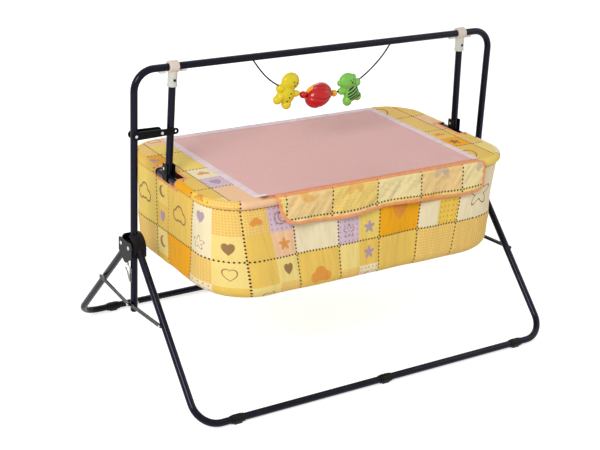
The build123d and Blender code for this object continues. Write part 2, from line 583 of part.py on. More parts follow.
def make_hangers():
    full = (BAR_Z - RIM_Z) / -HANGER_DIR.Z
    tube_end = full - TUBE_R - HANGER_END_GAP
    tube_top = SLEEVE_RING_R
    socket_end = (BAR_Z - SLEEVE_LOW_Z) / -HANGER_DIR.Z
    bolt_down = full - BRACKET_BOLT_UP
    screw_down = full - BRACKET_SCREW_UP
    sleeve_screw_down = (BAR_Z - SLEEVE_SCREW_Z) / -HANGER_DIR.Z
    ear_r = TUBE_R + BRACKET_GAP
    screws, bolts, stops = [], [], []
    for word, side in (("left", -1), ("right", 1)):
        top = hanger_plane(side, 0)
        ring = Cylinder(SLEEVE_RING_R, SLEEVE_RING_W)
        ring = fillet(ring.edges().filter_by(GeomType.CIRCLE), SLEEVE_ROUND)
        sleeve = Pos(side * HANGER_X, 0, BAR_Z) * (Rot(0, 90, 0) * ring)
        sleeve += top * Cylinder(SLEEVE_SOCKET_R, socket_end, align=BASE)
        flare = Cylinder(SLEEVE_FLARE_R, SLEEVE_FLARE_H, align=BASE)
        flare = fillet(flare.edges().filter_by(GeomType.CIRCLE), SLEEVE_ROUND)
        sleeve += hanger_plane(side, socket_end - SLEEVE_FLARE_H) * flare
        sleeve -= rod((side * (HANGER_X - SLEEVE_RING_W), 0, BAR_Z),
                      (side * (HANGER_X + SLEEVE_RING_W), 0, BAR_Z), TUBE_R + RUN_GAP)
        sleeve -= hanger_plane(side, tube_top - SEAT_GAP) * Cylinder(
            TUBE_R + FIT_GAP, socket_end, align=BASE)
        tube = hanger_plane(side, tube_top) * (Cylinder(TUBE_R, tube_end - tube_top, align=BASE)
                                               - Cylinder(TUBE_BORE_R, tube_end - tube_top, align=BASE))
        at = hanger_plane(side, sleeve_screw_down).origin
        screw = rivet((at.X, -SLEEVE_SOCKET_R, at.Z), (at.X, SCREW_DEPTH - SLEEVE_SOCKET_R, at.Z),
                      SCREW_R, SCREW_HEAD_R, SCREW_HEAD_H, tail=False)
        screw_hole = rod((at.X, -SLEEVE_SOCKET_R - CUT_OVER, at.Z), (at.X, 0, at.Z), SCREW_R + FIT_GAP)
        sleeve -= screw_hole
        tube -= screw_hole
        screws.append(screw)
        foot = hanger_plane(side, full)
        u_face = Circle(ear_r + BRACKET_T) + Pos(0, BRACKET_EAR / 2) * Rectangle(
            2 * (ear_r + BRACKET_T), BRACKET_EAR)
        u_face -= Circle(ear_r) + Pos(0, BRACKET_EAR) * Rectangle(2 * ear_r, 2 * BRACKET_EAR)
        crossing = Vector(-HANGER_DIR.Z, 0, side * HANGER_DIR.X)
        across = Plane(origin=foot.origin, x_dir=crossing, z_dir=(0, -1, 0))
        ear_outline = Pos(0, BRACKET_EAR / 2) * RectangleRounded(
            BRACKET_W, BRACKET_EAR + 2 * TUBE_D, BRACKET_W / 2 - FIT_GAP)
        along = Plane(origin=foot.origin, x_dir=(0, 1, 0), z_dir=crossing)
        bracket = extrude(across * u_face, BRACKET_W / 2, both=True)
        bracket &= extrude(along * ear_outline, 2 * TUBE_D, both=True)
        bolt_at = hanger_plane(side, bolt_down).origin
        screw_at = hanger_plane(side, screw_down).origin
        reach = ear_r + BRACKET_T
        bolt_head = bolt_at + crossing * side * reach
        bolt_end = bolt_at - crossing * side * (reach + BOLT_HEAD_H)
        nut_at = bolt_at - crossing * side * reach
        bolts.append(hex_bolt(bolt_head, bolt_end, BOLT_R, BOLT_HEAD_R, BOLT_HEAD_H))
        bolts.append(hex_nut(nut_at, -side * crossing, BOLT_R + FIT_GAP, BOLT_HEAD_R, BOLT_HEAD_H))
        bolt_hole = rod(bolt_at - crossing * TUBE_D, bolt_at + crossing * TUBE_D, BOLT_R + FIT_GAP)
        small_head = screw_at + crossing * side * reach
        small_end = screw_at + crossing * side * (reach - SCREW_DEPTH)
        screws.append(rivet(small_head, small_end, SCREW_R, SCREW_HEAD_R, SCREW_HEAD_H, tail=False))
        small_hole = rod(screw_at, screw_at + crossing * side * TUBE_D, SCREW_R + FIT_GAP)
        bracket -= bolt_hole
        bracket -= small_hole
        tube -= bolt_hole
        tube -= small_hole
        for offset in (-STOP_OFFSET, STOP_OFFSET):
            drop = Box(STOP_LENGTH, STOP_W, TUBE_R + STOP_DROP, align=(Align.CENTER, Align.CENTER, Align.MAX))
            drop = fillet(drop.edges().group_by(Axis.Z)[0], STOP_ROUND)
            drop -= Rot(0, 90, 0) * Cylinder(TUBE_R + RUN_GAP, STOP_LENGTH + CUT_OVER)
            stops.append(Pos(side * HANGER_X + offset, 0, BAR_Z) * drop)
        keep(f"t_sleeve_{word}", sleeve)
        keep(f"hanger_tube_{word}", tube)
        keep(f"rim_bracket_{word}", bracket)
    keep("hanger_screws", *screws)
    keep("bracket_bolts", *bolts)
    keep("bar_stop_clips", *stops)


def make_rim():
    outline = RectangleRounded(2 * RIM_HALF_L, 2 * RIM_HALF_W, RIM_CORNER)
    path = Pos(0, 0, RIM_Z) * outline.wire()
    tube = swept_tube(path, TUBE_R) - swept_tube(path, TUBE_BORE_R)
    keep("rim_tube", tube)
    cloth = swept_tube(path, SLEEVE_CLOTH_R) - swept_tube(path, TUBE_R + SEAT_GAP)
    slit = Box(4 * (RIM_HALF_L), 2 * RIM_SLIT_HALF, 4 * SLEEVE_CLOTH_R)
    cloth -= Pos(0, 0, RIM_Z) * slit
    halves = cloth.solids().sort_by(Axis.Y)
    keep("rim_cloth_front", halves[0])
    keep("rim_cloth_back", halves[-1])


def tub_solid(inset, low_z, top_z, edge):
    """The tub's outer form, drawn in by an inset."""
    top_half_l = RIM_HALF_L + TUB_INSET - inset
    top_half_w = RIM_HALF_W + TUB_INSET - inset
    top = Pos(0, 0, top_z) * RectangleRounded(2 * top_half_l, 2 * top_half_w, RIM_CORNER + TUB_INSET - inset)
    low = Pos(0, 0, low_z) * RectangleRounded(
        2 * (TUB_HALF_L - inset), 2 * (TUB_HALF_W - inset), TUB_CORNER - inset)
    body = loft([low, top])
    return fillet(body.edges().group_by(Axis.Z)[0], edge)


def make_tub():
    top_z = RIM_Z - SLEEVE_CLOTH_R - SEAT_GAP
    shell = tub_solid(0, TUB_LOW_Z, top_z, TUB_EDGE)
    shell -= tub_solid(CLOTH_T, TUB_LOW_Z + CLOTH_T, top_z, TUB_EDGE - CLOTH_T)
    notch_w = BRACKET_W + 2 * BRACKET_NOTCH_GAP
    notch_low = RIM_Z - TUBE_R - BRACKET_GAP - BRACKET_T - BRACKET_NOTCH_GAP
    shell -= Pos(0, 0, notch_low) * Box(4 * RIM_HALF_L, notch_w, TUBE_D, align=BASE)
    keep("tub_cloth", shell)


def make_bed():
    board_z = TUB_LOW_Z + CLOTH_T + SEAT_GAP
    corner = TUB_CORNER - BOARD_INSET
    board = rounded_plate(TUB_HALF_L - BOARD_INSET, TUB_HALF_W - BOARD_INSET, corner, board_z, BOARD_T)
    keep("base_board", board)
    bed_z = board_z + BOARD_T + SEAT_GAP
    body = rounded_plate(TUB_HALF_L - MATTRESS_INSET, TUB_HALF_W - MATTRESS_INSET,
                         TUB_CORNER - MATTRESS_INSET, bed_z, MATTRESS_T)
    levels = body.edges().group_by(Axis.Z)
    body = fillet(levels[0] + levels[-1], MATTRESS_ROUND)
    crown = []
    for inset, rise in ((MATTRESS_INSET + MATTRESS_ROUND, 0), (MATTRESS_CROWN_INSET, MATTRESS_CROWN)):
        crown.append(Pos(0, 0, bed_z + MATTRESS_T + rise) * RectangleRounded(
            2 * (TUB_HALF_L - inset), 2 * (TUB_HALF_W - inset), TUB_CORNER - inset))
    keep("mattress", body + loft(crown))


def make_cover():
    sheet = rounded_plate(RIM_HALF_L + COVER_LIP, RIM_HALF_W + COVER_LIP, RIM_CORNER + COVER_LIP,
                          COVER_Z, COVER_T)
    far = RIM_HALF_L + RIM_HALF_W
    slit_in = RIM_HALF_L - COVER_SLIT_IN
    for word, side in (("left", -1), ("right", 1)):
        end = Pos(side * (NET_HALF_L + SEAM_GAP + far / 2), 0, COVER_Z) * Box(far, 2 * far, 4 * CLOTH_T)
        slit = Pos(side * (slit_in + far / 2), 0, COVER_Z) * Box(far, 2 * RIM_SLIT_HALF, 4 * CLOTH_T)
        panel = (sheet & end) - slit
        keep(f"cover_panel_{word}", panel)
    band_w = RIM_HALF_W + COVER_LIP - NET_HALF_W - SEAM_GAP
    band_y = NET_HALF_W + SEAM_GAP + band_w / 2
    band = Box(2 * NET_HALF_L, band_w, COVER_T, align=BASE)
    keep("cover_back_band", Pos(0, band_y, COVER_Z) * band)
    keep("net_panel", Pos(0, 0, COVER_Z) * Box(2 * NET_HALF_L, 2 * NET_HALF_W, NET_T, align=BASE))
    chain = Pos(0, 0, COVER_T) * Box(2 * NET_HALF_L - ZIP_END, ZIP_CHAIN_W, ZIP_CHAIN_H, align=BASE)
    keep("zip_tape", Pos(0, -band_y, COVER_Z) * (band + chain))
    slider_z = COVER_Z + COVER_T + ZIP_CHAIN_H + FIT_GAP
    slider_x = ZIP_END / 2 + SLIDER_L / 2 - NET_HALF_L
    slider = Box(SLIDER_L, SLIDER_W, SLIDER_H, align=BASE)
    slider = fillet(slider.edges(), SLIDER_ROUND)
    keep("zip_slider", Pos(slider_x, -band_y, slider_z) * slider)
    pull = extrude(SlotOverall(PULL_L, PULL_W), PULL_T)
    pull_x = slider_x + (SLIDER_L - PULL_L) / 2
    keep("zip_pull", Pos(pull_x, -band_y, slider_z + SLIDER_H + FIT_GAP) * pull)


def wave_face(bow, z):
    """A thin band bowed in and out by turns, which runs past the flap's ends to be trimmed."""
    inner_y = -(RIM_HALF_W + SLEEVE_CLOTH_R + SEAT_GAP)
    middle = inner_y - FLAP_T - FLAP_LOW_BOW
    left_x, right_x = FLAP_LEFT_X - CUT_OVER, FLAP_RIGHT_X + CUT_OVER
    step = (right_x - left_x) / FLAP_FOLDS
    edges = []
    for thickness in (0.0, FLAP_T):
        y = middle + thickness
        for i in range(FLAP_FOLDS):
            x = left_x + i * step
            turn = bow if i % 2 else -bow
            edges += ThreePointArc((x, y), (x + step / 2, y + turn), (x + step, y)).edges()
    for x in (left_x, right_x):
        edges += Line((x, middle), (x, middle + FLAP_T)).edges()
    return Pos(0, 0, z) * make_face(edges)


def make_flap():
    top_z = RIM_Z + FLAP_TOP_UP
    cloth = loft([wave_face(FLAP_LOW_BOW, FLAP_LOW_Z - CUT_OVER), wave_face(FLAP_TOP_BOW, top_z)])
    width = FLAP_RIGHT_X - FLAP_LEFT_X
    depth = top_z - FLAP_LOW_Z
    outline = Pos((FLAP_LEFT_X + FLAP_RIGHT_X) / 2, FLAP_LOW_Z + depth) * RectangleRounded(
        width, 2 * depth, FLAP_CORNER)
    cutter = extrude(Plane.XZ * outline, 2 * RIM_HALF_W)
    start_y = -(RIM_HALF_W + COVER_LIP + SEAM_GAP)
    start_z = COVER_Z + FLAP_T / 2
    end_y = -(RIM_HALF_W + SLEEVE_CLOTH_R + SEAT_GAP) - FLAP_T / 2 - FLAP_LOW_BOW
    end_z = top_z - FLAP_JOIN
    bend = []
    for i in range(FLAP_BEND_STEPS + 1):
        turn = math.pi / 2 * i / FLAP_BEND_STEPS
        bend.append((start_y + (end_y - start_y) * math.sin(turn), end_z + (start_z - end_z) * math.cos(turn)))
    hem = yz_extrude(strip(bend, FLAP_T), FLAP_LEFT_X, FLAP_RIGHT_X)
    keep("front_flap", (cloth & cutter) + hem)


def cord_points():
    """The points of the cord's route, which hang from the top bar."""
    return [Vector(x, 0, BAR_Z - down) for x, down in CORD_ROUTE]


def knot_places():
    """Middles of the cord's end knots, halfway through the wall of the top bar."""
    points = cord_points()
    middle_z = BAR_Z - TUBE_R + TUBE_WALL / 2
    places = []
    for inside, outside in ((points[0], points[1]), (points[-1], points[-2])):
        run_share = (inside.Z - middle_z) / (inside.Z - outside.Z)
        places.append(inside + (outside - inside) * run_share)
    return places


def cord_path():
    """The cord's route with an arc at each point, as wide as the runs beside it allow."""
    points = cord_points()
    radii = []
    for before, here, after in zip(points, points[1:], points[2:]):
        run_in, run_out = here - before, after - here
        turn = math.radians(run_in.get_angle(run_out))
        radii.append(CORD_ARC_SHARE * min(run_in.length, run_out.length) / math.tan(turn / 2))
    print("cord radii", [round(r, 1) for r in radii])
    return FilletPolyline(points, radius=radii)


def ovals(rows, middle_x, drop, size):
    """One body from overlapping ovals that stand in the plane of the arch, this far below the bar."""
    middle_z = BAR_Z - drop
    body = None
    for x, z, half_x, half_y, half_z in rows:
        ball = scale(Sphere(1), (half_x * size, half_y * size, half_z * size))
        ball = Pos(middle_x + x * size, 0, middle_z + z * size) * ball
        body = ball if body is None else body + ball
    return body


def make_toys():
    path = cord_path()
    cord = swept_tube(path, CORD_R)
    print("cord length", round(path.length, 1), "volume over section times length",
          round(cord.volume / (math.pi * CORD_R ** 2 * path.length), 4))
    inside_bar = Pos(0, 0, BAR_Z - TUBE_R) * Box(2 * ARCH_HALF, TUBE_D, TUBE_D, align=BASE)
    for middle in knot_places():
        cord += (Pos(middle) * Sphere(CORD_KNOT_R)) & inside_bar
    keep("toy_cord", cord)
    bore = swept_tube(path, CORD_R + TOY_BORE_GAP)
    fruit = ovals(FRUIT_OVAL_SHARES, FRUIT_X, FRUIT_DROP, FRUIT_W)
    figures = {
        "toy_bear": ovals(BEAR_OVAL_SHARES, BEAR_X, BEAR_DROP, BEAR_H),
        "toy_bug": ovals(BUG_OVAL_SHARES, BUG_X, BUG_DROP, BUG_H),
        "toy_fruit": fruit,
        "toy_leaf": ovals(LEAF_OVAL_SHARES, FRUIT_X, FRUIT_DROP, FRUIT_W) - fruit,
        "bead_red": Pos(BEAD_X, 0, BAR_Z - BEAD_DROP) * Sphere(BEAD_R),
        "bead_amber": Pos(SMALL_BEAD_X, 0, BAR_Z - SMALL_BEAD_DROP) * Sphere(SMALL_BEAD_R),
    }
    for name, body in figures.items():
        solids = (body - bore).solids().sort_by(SortBy.VOLUME)
        print(name, [round(solid.volume) for solid in solids])
        keep(name, solids[-1])


def main():
    make_arch()
    make_end_caps()
    make_brace_pivots()
    for name, side, brace_x in (("front", -1, FRONT_BRACE_X), ("rear", 1, REAR_BRACE_X)):
        make_leg_frame(name, side)
        make_feet(name, side)
        make_braces(name, side, brace_x)
    rivets = []
    for word, side in (("left", -1), ("right", 1)):
        rivets += make_housing(word, side)
    keep("leg_pivot_rivets", *rivets)
    make_latches()
    make_lock()
    make_hangers()
    make_rim()
    make_tub()
    make_bed()
    make_cover()
    make_flap()
    make_toys()
    os.makedirs("parts", exist_ok=True)
    for name, shape in parts.items():
        export_step(shape, os.path.join("parts", f"{name}.step"))


main()
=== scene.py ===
# %% [markdown]
# A hanging baby cradle, dressed for its photograph.
# The construction comes packed: steel tubes, joints, moulded housings and plain solids for the cloth.
# This lesson gives the steel and plastic their finishes and builds the soft goods around them: a patchwork
# basket, a net cover with its zip, a bound flap, a mattress, and a string of toys under the top bar.
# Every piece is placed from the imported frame, so nothing has to be fitted afterwards.

import json
import math

import bmesh
import bpy
from mathutils import Matrix, Vector, noise


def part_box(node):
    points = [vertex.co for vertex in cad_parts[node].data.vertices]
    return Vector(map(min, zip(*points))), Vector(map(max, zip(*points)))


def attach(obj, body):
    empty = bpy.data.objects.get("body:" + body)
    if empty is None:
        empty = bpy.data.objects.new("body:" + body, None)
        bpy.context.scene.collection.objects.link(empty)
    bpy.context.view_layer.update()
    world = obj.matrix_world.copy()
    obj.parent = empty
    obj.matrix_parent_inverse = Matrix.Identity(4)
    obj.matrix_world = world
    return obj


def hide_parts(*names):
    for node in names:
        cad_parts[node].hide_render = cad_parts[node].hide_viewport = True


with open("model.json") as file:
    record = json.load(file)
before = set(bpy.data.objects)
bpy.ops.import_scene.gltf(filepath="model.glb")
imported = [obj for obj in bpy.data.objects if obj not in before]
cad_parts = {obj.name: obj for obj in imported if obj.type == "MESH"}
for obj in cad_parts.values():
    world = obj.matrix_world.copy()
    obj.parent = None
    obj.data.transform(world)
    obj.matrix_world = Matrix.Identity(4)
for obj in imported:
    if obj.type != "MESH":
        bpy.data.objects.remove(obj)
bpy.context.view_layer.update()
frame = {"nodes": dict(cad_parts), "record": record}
MM = 0.001
nodes = frame["nodes"]

# %% [markdown]
# The camera stands where the photographer stood.
# Its place came from lining up the stand's straight tubes with the picture, which also gave the long lens
# and a small roll to one side. The direction is written as an angle round the cradle and an angle above
# the floor, because those two are what one checks against a picture.

# %% Place the camera
CAMERA_AT = Vector((-1.9639, -2.9009, 1.7283))
CAMERA_ROUND = math.radians(-33.35)
CAMERA_ABOVE = math.radians(21.92)
CAMERA_ROLL = math.radians(2.8)
LENS_MM = 80.66
SENSOR_MM = 36.0

backward = Vector((math.sin(CAMERA_ROUND) * math.cos(CAMERA_ABOVE),
                   -math.cos(CAMERA_ROUND) * math.cos(CAMERA_ABOVE), math.sin(CAMERA_ABOVE)))
level_right = (-backward).cross(Vector((0, 0, 1))).normalized()
level_up = level_right.cross(-backward)
right = math.cos(CAMERA_ROLL) * level_right + math.sin(CAMERA_ROLL) * level_up
up = -math.sin(CAMERA_ROLL) * level_right + math.cos(CAMERA_ROLL) * level_up
camera = bpy.data.objects.new("camera", bpy.data.cameras.new("camera"))
camera.data.lens = LENS_MM
camera.data.sensor_width = SENSOR_MM
camera.data.clip_end = 60.0
facing = Matrix((right, up, backward)).transposed().to_4x4()
camera.matrix_world = Matrix.Translation(CAMERA_AT) @ facing
bpy.context.scene.collection.objects.link(camera)
bpy.context.scene.camera = camera
bpy.context.scene.view_settings.view_transform = "Standard"
print("camera stands", round(CAMERA_AT.length, 2), "m from the origin")

# %% [markdown]
# The toy string is a round elastic cord, tied into two holes in the top bar.
# It could be a swept mesh, but a NURBS curve with a round bevel is a true cord: one smooth line through
# the air whose length can be measured. The toys' weight pulls it into the slack V of the photograph.

# %% Hang the toy string
CORD_DIAMETER = 4 * MM
CORD_POINTS_MM = [
    (-224.7, 821.3), (-214.0, 806.6), (-200.5, 790.0), (-182.5, 770.5), (-156.0, 749.5),
    (-116.0, 729.0), (-70.0, 710.5), (-20.0, 702.0), (30.0, 700.5), (72.0, 711.0),
    (116.0, 731.0), (149.0, 753.5), (179.0, 780.0), (199.0, 802.5), (211.8, 821.3),
]
string_curve = bpy.data.curves.new("toy_string_cord", "CURVE")
string_curve.dimensions = "3D"
string_line = string_curve.splines.new("NURBS")
string_line.points.add(len(CORD_POINTS_MM) - 1)
for point, (x, z) in zip(string_line.points, CORD_POINTS_MM):
    point.co = (x * MM, 0.0, z * MM, 1.0)
string_line.order_u = 3
string_line.use_endpoint_u = True
string_line.resolution_u = 10
string_curve.bevel_depth = CORD_DIAMETER / 2
string_curve.bevel_resolution = 5
toy_cord = bpy.data.objects.new("toy_string_cord", string_curve)
bpy.context.scene.collection.objects.link(toy_cord)
print("toy string of", len(CORD_POINTS_MM), "points")

# %% [markdown]
# The studio is a white floor under a white sky with three broad lamps.
# The picture's ground is pure white. More lamp light would burn out the pale cloth, so the whiteness is a
# gift to the camera alone: the Light Path node adds brightness only for rays from the camera and for rays
# that metal or glass sends back. The lamps stay at a level where a colour comes out as it was written.

# %% Build the studio
SKY_LIGHT = 0.46
FLOOR_HALF = 9.0
FLOOR_GLOW = 0.62
LAMPS = [
    ("key_lamp", (-3.0, -2.0, 2.6), 1.5, 88.0),
    ("fill_lamp", (2.9, -1.9, 2.2), 2.4, 18.0),
    ("back_lamp", (0.6, 3.0, 2.6), 2.0, 22.0),
]
LAMP_AIM = Vector((0.0, 0.0, 0.42))


def seen_directly(tree):
    """One for rays from the camera, from gloss and through glass, and zero for the rest."""
    light_path = tree.nodes.new("ShaderNodeLightPath")
    total = light_path.outputs["Is Camera Ray"]
    for name in ("Is Glossy Ray", "Is Transmission Ray"):
        larger = tree.nodes.new("ShaderNodeMath")
        larger.operation = "MAXIMUM"
        tree.links.new(total, larger.inputs[0])
        tree.links.new(light_path.outputs[name], larger.inputs[1])
        total = larger.outputs[0]
    return total


def ranged(tree, value, low, high):
    """A value from 0 to 1, carried over to a range from low to high."""
    scale = tree.nodes.new("ShaderNodeMapRange")
    tree.links.new(value, scale.inputs["Value"])
    scale.inputs["To Min"].default_value = low
    scale.inputs["To Max"].default_value = high
    return scale.outputs["Result"]


sky = bpy.data.worlds.new("white_sky")
bpy.context.scene.world = sky
sky.use_nodes = True
sky_light = sky.node_tree.nodes["Background"]
sky_light.inputs["Color"].default_value = (1.0, 1.0, 1.0, 1.0)
sky.node_tree.links.new(ranged(sky.node_tree, seen_directly(sky.node_tree), SKY_LIGHT, 1.0),
                        sky_light.inputs["Strength"])

for name, place, width, watts in LAMPS:
    lamp = bpy.data.objects.new(name, bpy.data.lights.new(name, "AREA"))
    lamp.data.shape = "DISK"
    lamp.data.size = width
    lamp.data.energy = watts
    lamp.location = place
    lamp.rotation_euler = (LAMP_AIM - Vector(place)).to_track_quat("-Z", "Y").to_euler()
    bpy.context.scene.collection.objects.link(lamp)
print("lamps", [name for name, _, _, _ in LAMPS])

# %% [markdown]
# The floor is one large sheet as white as paper.
# It takes the shadows that show where the stand touches the ground, and for the camera it glows a little,
# so that it runs into the sky without a line.

# %% Lay the floor
floor_paper = bpy.data.materials.new("white_floor_paper")
floor_paper.use_nodes = True
paper = floor_paper.node_tree.nodes["Principled BSDF"]
paper.inputs["Base Color"].default_value = (0.80, 0.80, 0.81, 1.0)
paper.inputs["Roughness"].default_value = 0.7
paper.inputs["Emission Color"].default_value = (1.0, 1.0, 1.0, 1.0)
floor_paper.node_tree.links.new(
    ranged(floor_paper.node_tree, seen_directly(floor_paper.node_tree), 0.0, FLOOR_GLOW),
    paper.inputs["Emission Strength"])
floor_mesh = bpy.data.meshes.new("studio_floor")
floor_corners = [(x * FLOOR_HALF, y * FLOOR_HALF, 0.0) for x, y in ((-1, -1), (1, -1), (1, 1), (-1, 1))]
floor_mesh.from_pydata(floor_corners, [], [(0, 1, 2, 3)])
floor_mesh.materials.append(floor_paper)
floor = bpy.data.objects.new("studio_floor", floor_mesh)
bpy.context.scene.collection.objects.link(floor)
print("floor", 2 * FLOOR_HALF, "m wide")

# %% [markdown]
# Colours are written as one reads them off a picture, from 0 to 255, and turned into the linear light
# that Blender mixes with.
# The other helpers keep every shader short: one makes a node, one feeds a socket from a link or a plain
# value, and the rest chain Math nodes so that a formula can be read as a formula.

# %% Helpers for shader nodes
def tint(red, green, blue):
    """A picture's colour as linear light."""
    channels = [c / 255 for c in (red, green, blue)]
    return tuple(c / 12.92 if c <= 0.04045 else ((c + 0.055) / 1.055) ** 2.4 for c in channels) + (1.0,)


def add_node(tree, kind, **settings):
    made = tree.nodes.new("ShaderNode" + kind)
    for key, value in settings.items():
        setattr(made, key, value)
    return made


def feed(tree, socket, value):
    """Fill a socket from another node's output, or with a plain value."""
    if isinstance(value, bpy.types.NodeSocket):
        tree.links.new(value, socket)
    else:
        socket.default_value = value


def calc(tree, operation, *values):
    """One Math node: its inputs are outputs or numbers."""
    step = add_node(tree, "Math", operation=operation)
    for socket, value in zip(step.inputs, values):
        feed(tree, socket, value)
    return step.outputs[0]


def times(tree, first, second):
    return calc(tree, "MULTIPLY", first, second)


def plus(tree, first, second):
    return calc(tree, "ADD", first, second)


def minus(tree, first, second):
    return calc(tree, "SUBTRACT", first, second)


def divided(tree, first, second):
    return calc(tree, "DIVIDE", first, second)


print("light yellow as linear light", [round(c, 3) for c in tint(250, 222, 130)])

# %% [markdown]
# A mask is a value from 0 to 1 that says where something is, and masks decide every mix of colours below.
# A soft step makes one from any value. The noise helper brings the unevenness that keeps a surface from
# looking drawn.

# %% Helpers for masks and places
def soft_step(tree, value, start, end):
    """A mask that runs from 0 at start to 1 at end, with round shoulders."""
    ramp = add_node(tree, "MapRange", interpolation_type="SMOOTHSTEP")
    feed(tree, ramp.inputs["Value"], value)
    feed(tree, ramp.inputs["From Min"], start)
    feed(tree, ramp.inputs["From Max"], end)
    return ramp.outputs["Result"]


def blend_colours(tree, share, first, second):
    mixer = add_node(tree, "Mix", data_type="RGBA")
    feed(tree, mixer.inputs[0], share)
    feed(tree, mixer.inputs[6], first)
    feed(tree, mixer.inputs[7], second)
    return mixer.outputs[2]


def split(tree, vector):
    parts = add_node(tree, "SeparateXYZ")
    feed(tree, parts.inputs[0], vector)
    return parts.outputs[0], parts.outputs[1], parts.outputs[2]


def diagonals(tree, x, y, pitch):
    """A place counted in pitches along both diagonals of a cloth."""
    return [divided(tree, calc(tree, way, x, y), pitch) for way in ("ADD", "SUBTRACT")]


def join(tree, *values):
    joined = add_node(tree, "CombineXYZ")
    for socket, value in zip(joined.inputs, values):
        feed(tree, socket, value)
    return joined.outputs[0]


def speckle(tree, vector, scale, detail=3.0, roughness=0.55):
    """Soft random values from a noise texture, with its scale in waves a metre."""
    cloud = add_node(tree, "TexNoise")
    feed(tree, cloud.inputs["Vector"], vector)
    feed(tree, cloud.inputs["Scale"], scale)
    feed(tree, cloud.inputs["Detail"], detail)
    feed(tree, cloud.inputs["Roughness"], roughness)
    return cloud.outputs["Fac"]


print("helpers", [helper.__name__ for helper in (soft_step, blend_colours, split, diagonals, join, speckle)])

# %% [markdown]
# A node group is a tool that many materials share.
# The next function makes an empty one with named inputs and outputs. In this Blender, sockets belong to
# the group's interface, so that is where they are made.

# %% Start a node group
def start_group(name, inputs, outputs):
    tree = bpy.data.node_groups.new(name, "ShaderNodeTree")
    for label, kind, value in inputs:
        socket = tree.interface.new_socket(name=label, in_out="INPUT", socket_type="NodeSocket" + kind)
        if value is not None:
            socket.default_value = value
    for label, kind in outputs:
        tree.interface.new_socket(name=label, in_out="OUTPUT", socket_type="NodeSocket" + kind)
    return tree, tree.nodes.new("NodeGroupInput").outputs, tree.nodes.new("NodeGroupOutput").inputs


def place_group(tree, group, **values):
    """Put a shared group into a material, with this material's own values."""
    box = add_node(tree, "Group", node_tree=group)
    for label, value in values.items():
        feed(tree, box.inputs[label], value)
    return box.outputs


print("node groups so far", len(bpy.data.node_groups))

# %% [markdown]
# Handling leaves its mark on edges first.
# Pointiness is the usual way to find edges, but it is stored at the mesh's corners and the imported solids
# have hardly any. The Bevel node needs none: where its rounded normal leaves the true one, there is an
# edge. Noise breaks the mask up, because real wear is never an even line.

# %% Group: worn edges
EDGE_REACH = 0.0011
worn_edges, given, result = start_group(
    "worn_edges",
    [("Place", "Vector", None), ("Amount", "Float", 0.5), ("Patch", "Float", 90.0)],
    [("Mask", "Float")])
tree = worn_edges
surface = add_node(tree, "NewGeometry")
rounded = add_node(tree, "Bevel", samples=4)
rounded.inputs["Radius"].default_value = EDGE_REACH
likeness = add_node(tree, "VectorMath", operation="DOT_PRODUCT")
feed(tree, likeness.inputs[0], rounded.outputs[0])
feed(tree, likeness.inputs[1], surface.outputs["Normal"])
sharp = soft_step(tree, likeness.outputs["Value"], 0.97, 0.80)
patchy = soft_step(tree, speckle(tree, given["Place"], given["Patch"]), 0.4, 0.62)
feed(tree, result["Mask"],
     times(tree, times(tree, sharp, patchy), given["Amount"]))
print("group", worn_edges.name)

# %% [markdown]
# Nothing stays clean on a nursery floor: a thin film of dust settles where a surface faces upwards.
# The upward part of the normal gives the place and noise gives the unevenness.

# %% Group: settled dust
settled_dust, given, result = start_group(
    "settled_dust",
    [("Place", "Vector", None), ("Amount", "Float", 0.2)],
    [("Mask", "Float")])
tree = settled_dust
surface = add_node(tree, "NewGeometry")
upward = soft_step(tree, split(tree, surface.outputs["Normal"])[2], 0.1, 0.95)
drift = soft_step(tree, speckle(tree, given["Place"], 34.0), 0.35, 0.75)
feed(tree, result["Mask"],
     times(tree, times(tree, upward, drift), given["Amount"]))
print("group", settled_dust.name)

# %% [markdown]
# Grain stands for the fine unevenness of enamel, moulded plastic and rolled steel.
# One noise at a coarse scale and one at a fine scale are enough: the coarse one bends reflections the way
# orange peel does in paint, the fine one breaks the gloss.

# %% Group: grain
grain, given, result = start_group(
    "grain",
    [("Place", "Vector", None), ("Coarse", "Float", 160.0), ("Fine", "Float", 1500.0),
     ("Share", "Float", 0.5)],
    [("Height", "Float"), ("Shade", "Float")])
tree = grain
coarse = speckle(tree, given["Place"], given["Coarse"], 2.0)
fine = speckle(tree, given["Place"], given["Fine"], 2.0)
part_fine = times(tree, fine, given["Share"])
part_coarse = times(tree, coarse, minus(tree, 1.0, given["Share"]))
feed(tree, result["Height"], plus(tree, part_fine, part_coarse))
feed(tree, result["Shade"], coarse)
print("group", grain.name)

# %% [markdown]
# Cotton is a plain weave: threads that pass over and under each other by turns.
# The group draws it from sines of the place on the cloth. It gives a height for the bump and a shade that
# darkens the gaps, and it takes the thread's pitch in metres.

# %% Group: plain weave
plain_weave, given, result = start_group(
    "plain_weave",
    [("Place", "Vector", None), ("Pitch", "Float", 0.0009)],
    [("Height", "Float"), ("Shade", "Float")])
tree = plain_weave
along, across, _ = split(tree, given["Place"])
waves = []
for run in (along, across):
    turn = times(tree, divided(tree, run, given["Pitch"]), math.pi)
    waves.append(calc(tree, "SINE", turn))
over = calc(tree, "GREATER_THAN", times(tree, waves[0], waves[1]), 0.0)
warp = times(tree, over, calc(tree, "ABSOLUTE", waves[0]))
weft = times(tree, minus(tree, 1.0, over),
             calc(tree, "ABSOLUTE", waves[1]))
thread_height = plus(tree, warp, weft)
feed(tree, result["Height"], thread_height)
feed(tree, result["Shade"], soft_step(tree, thread_height, 0.0, 0.75))
print("group", plain_weave.name)

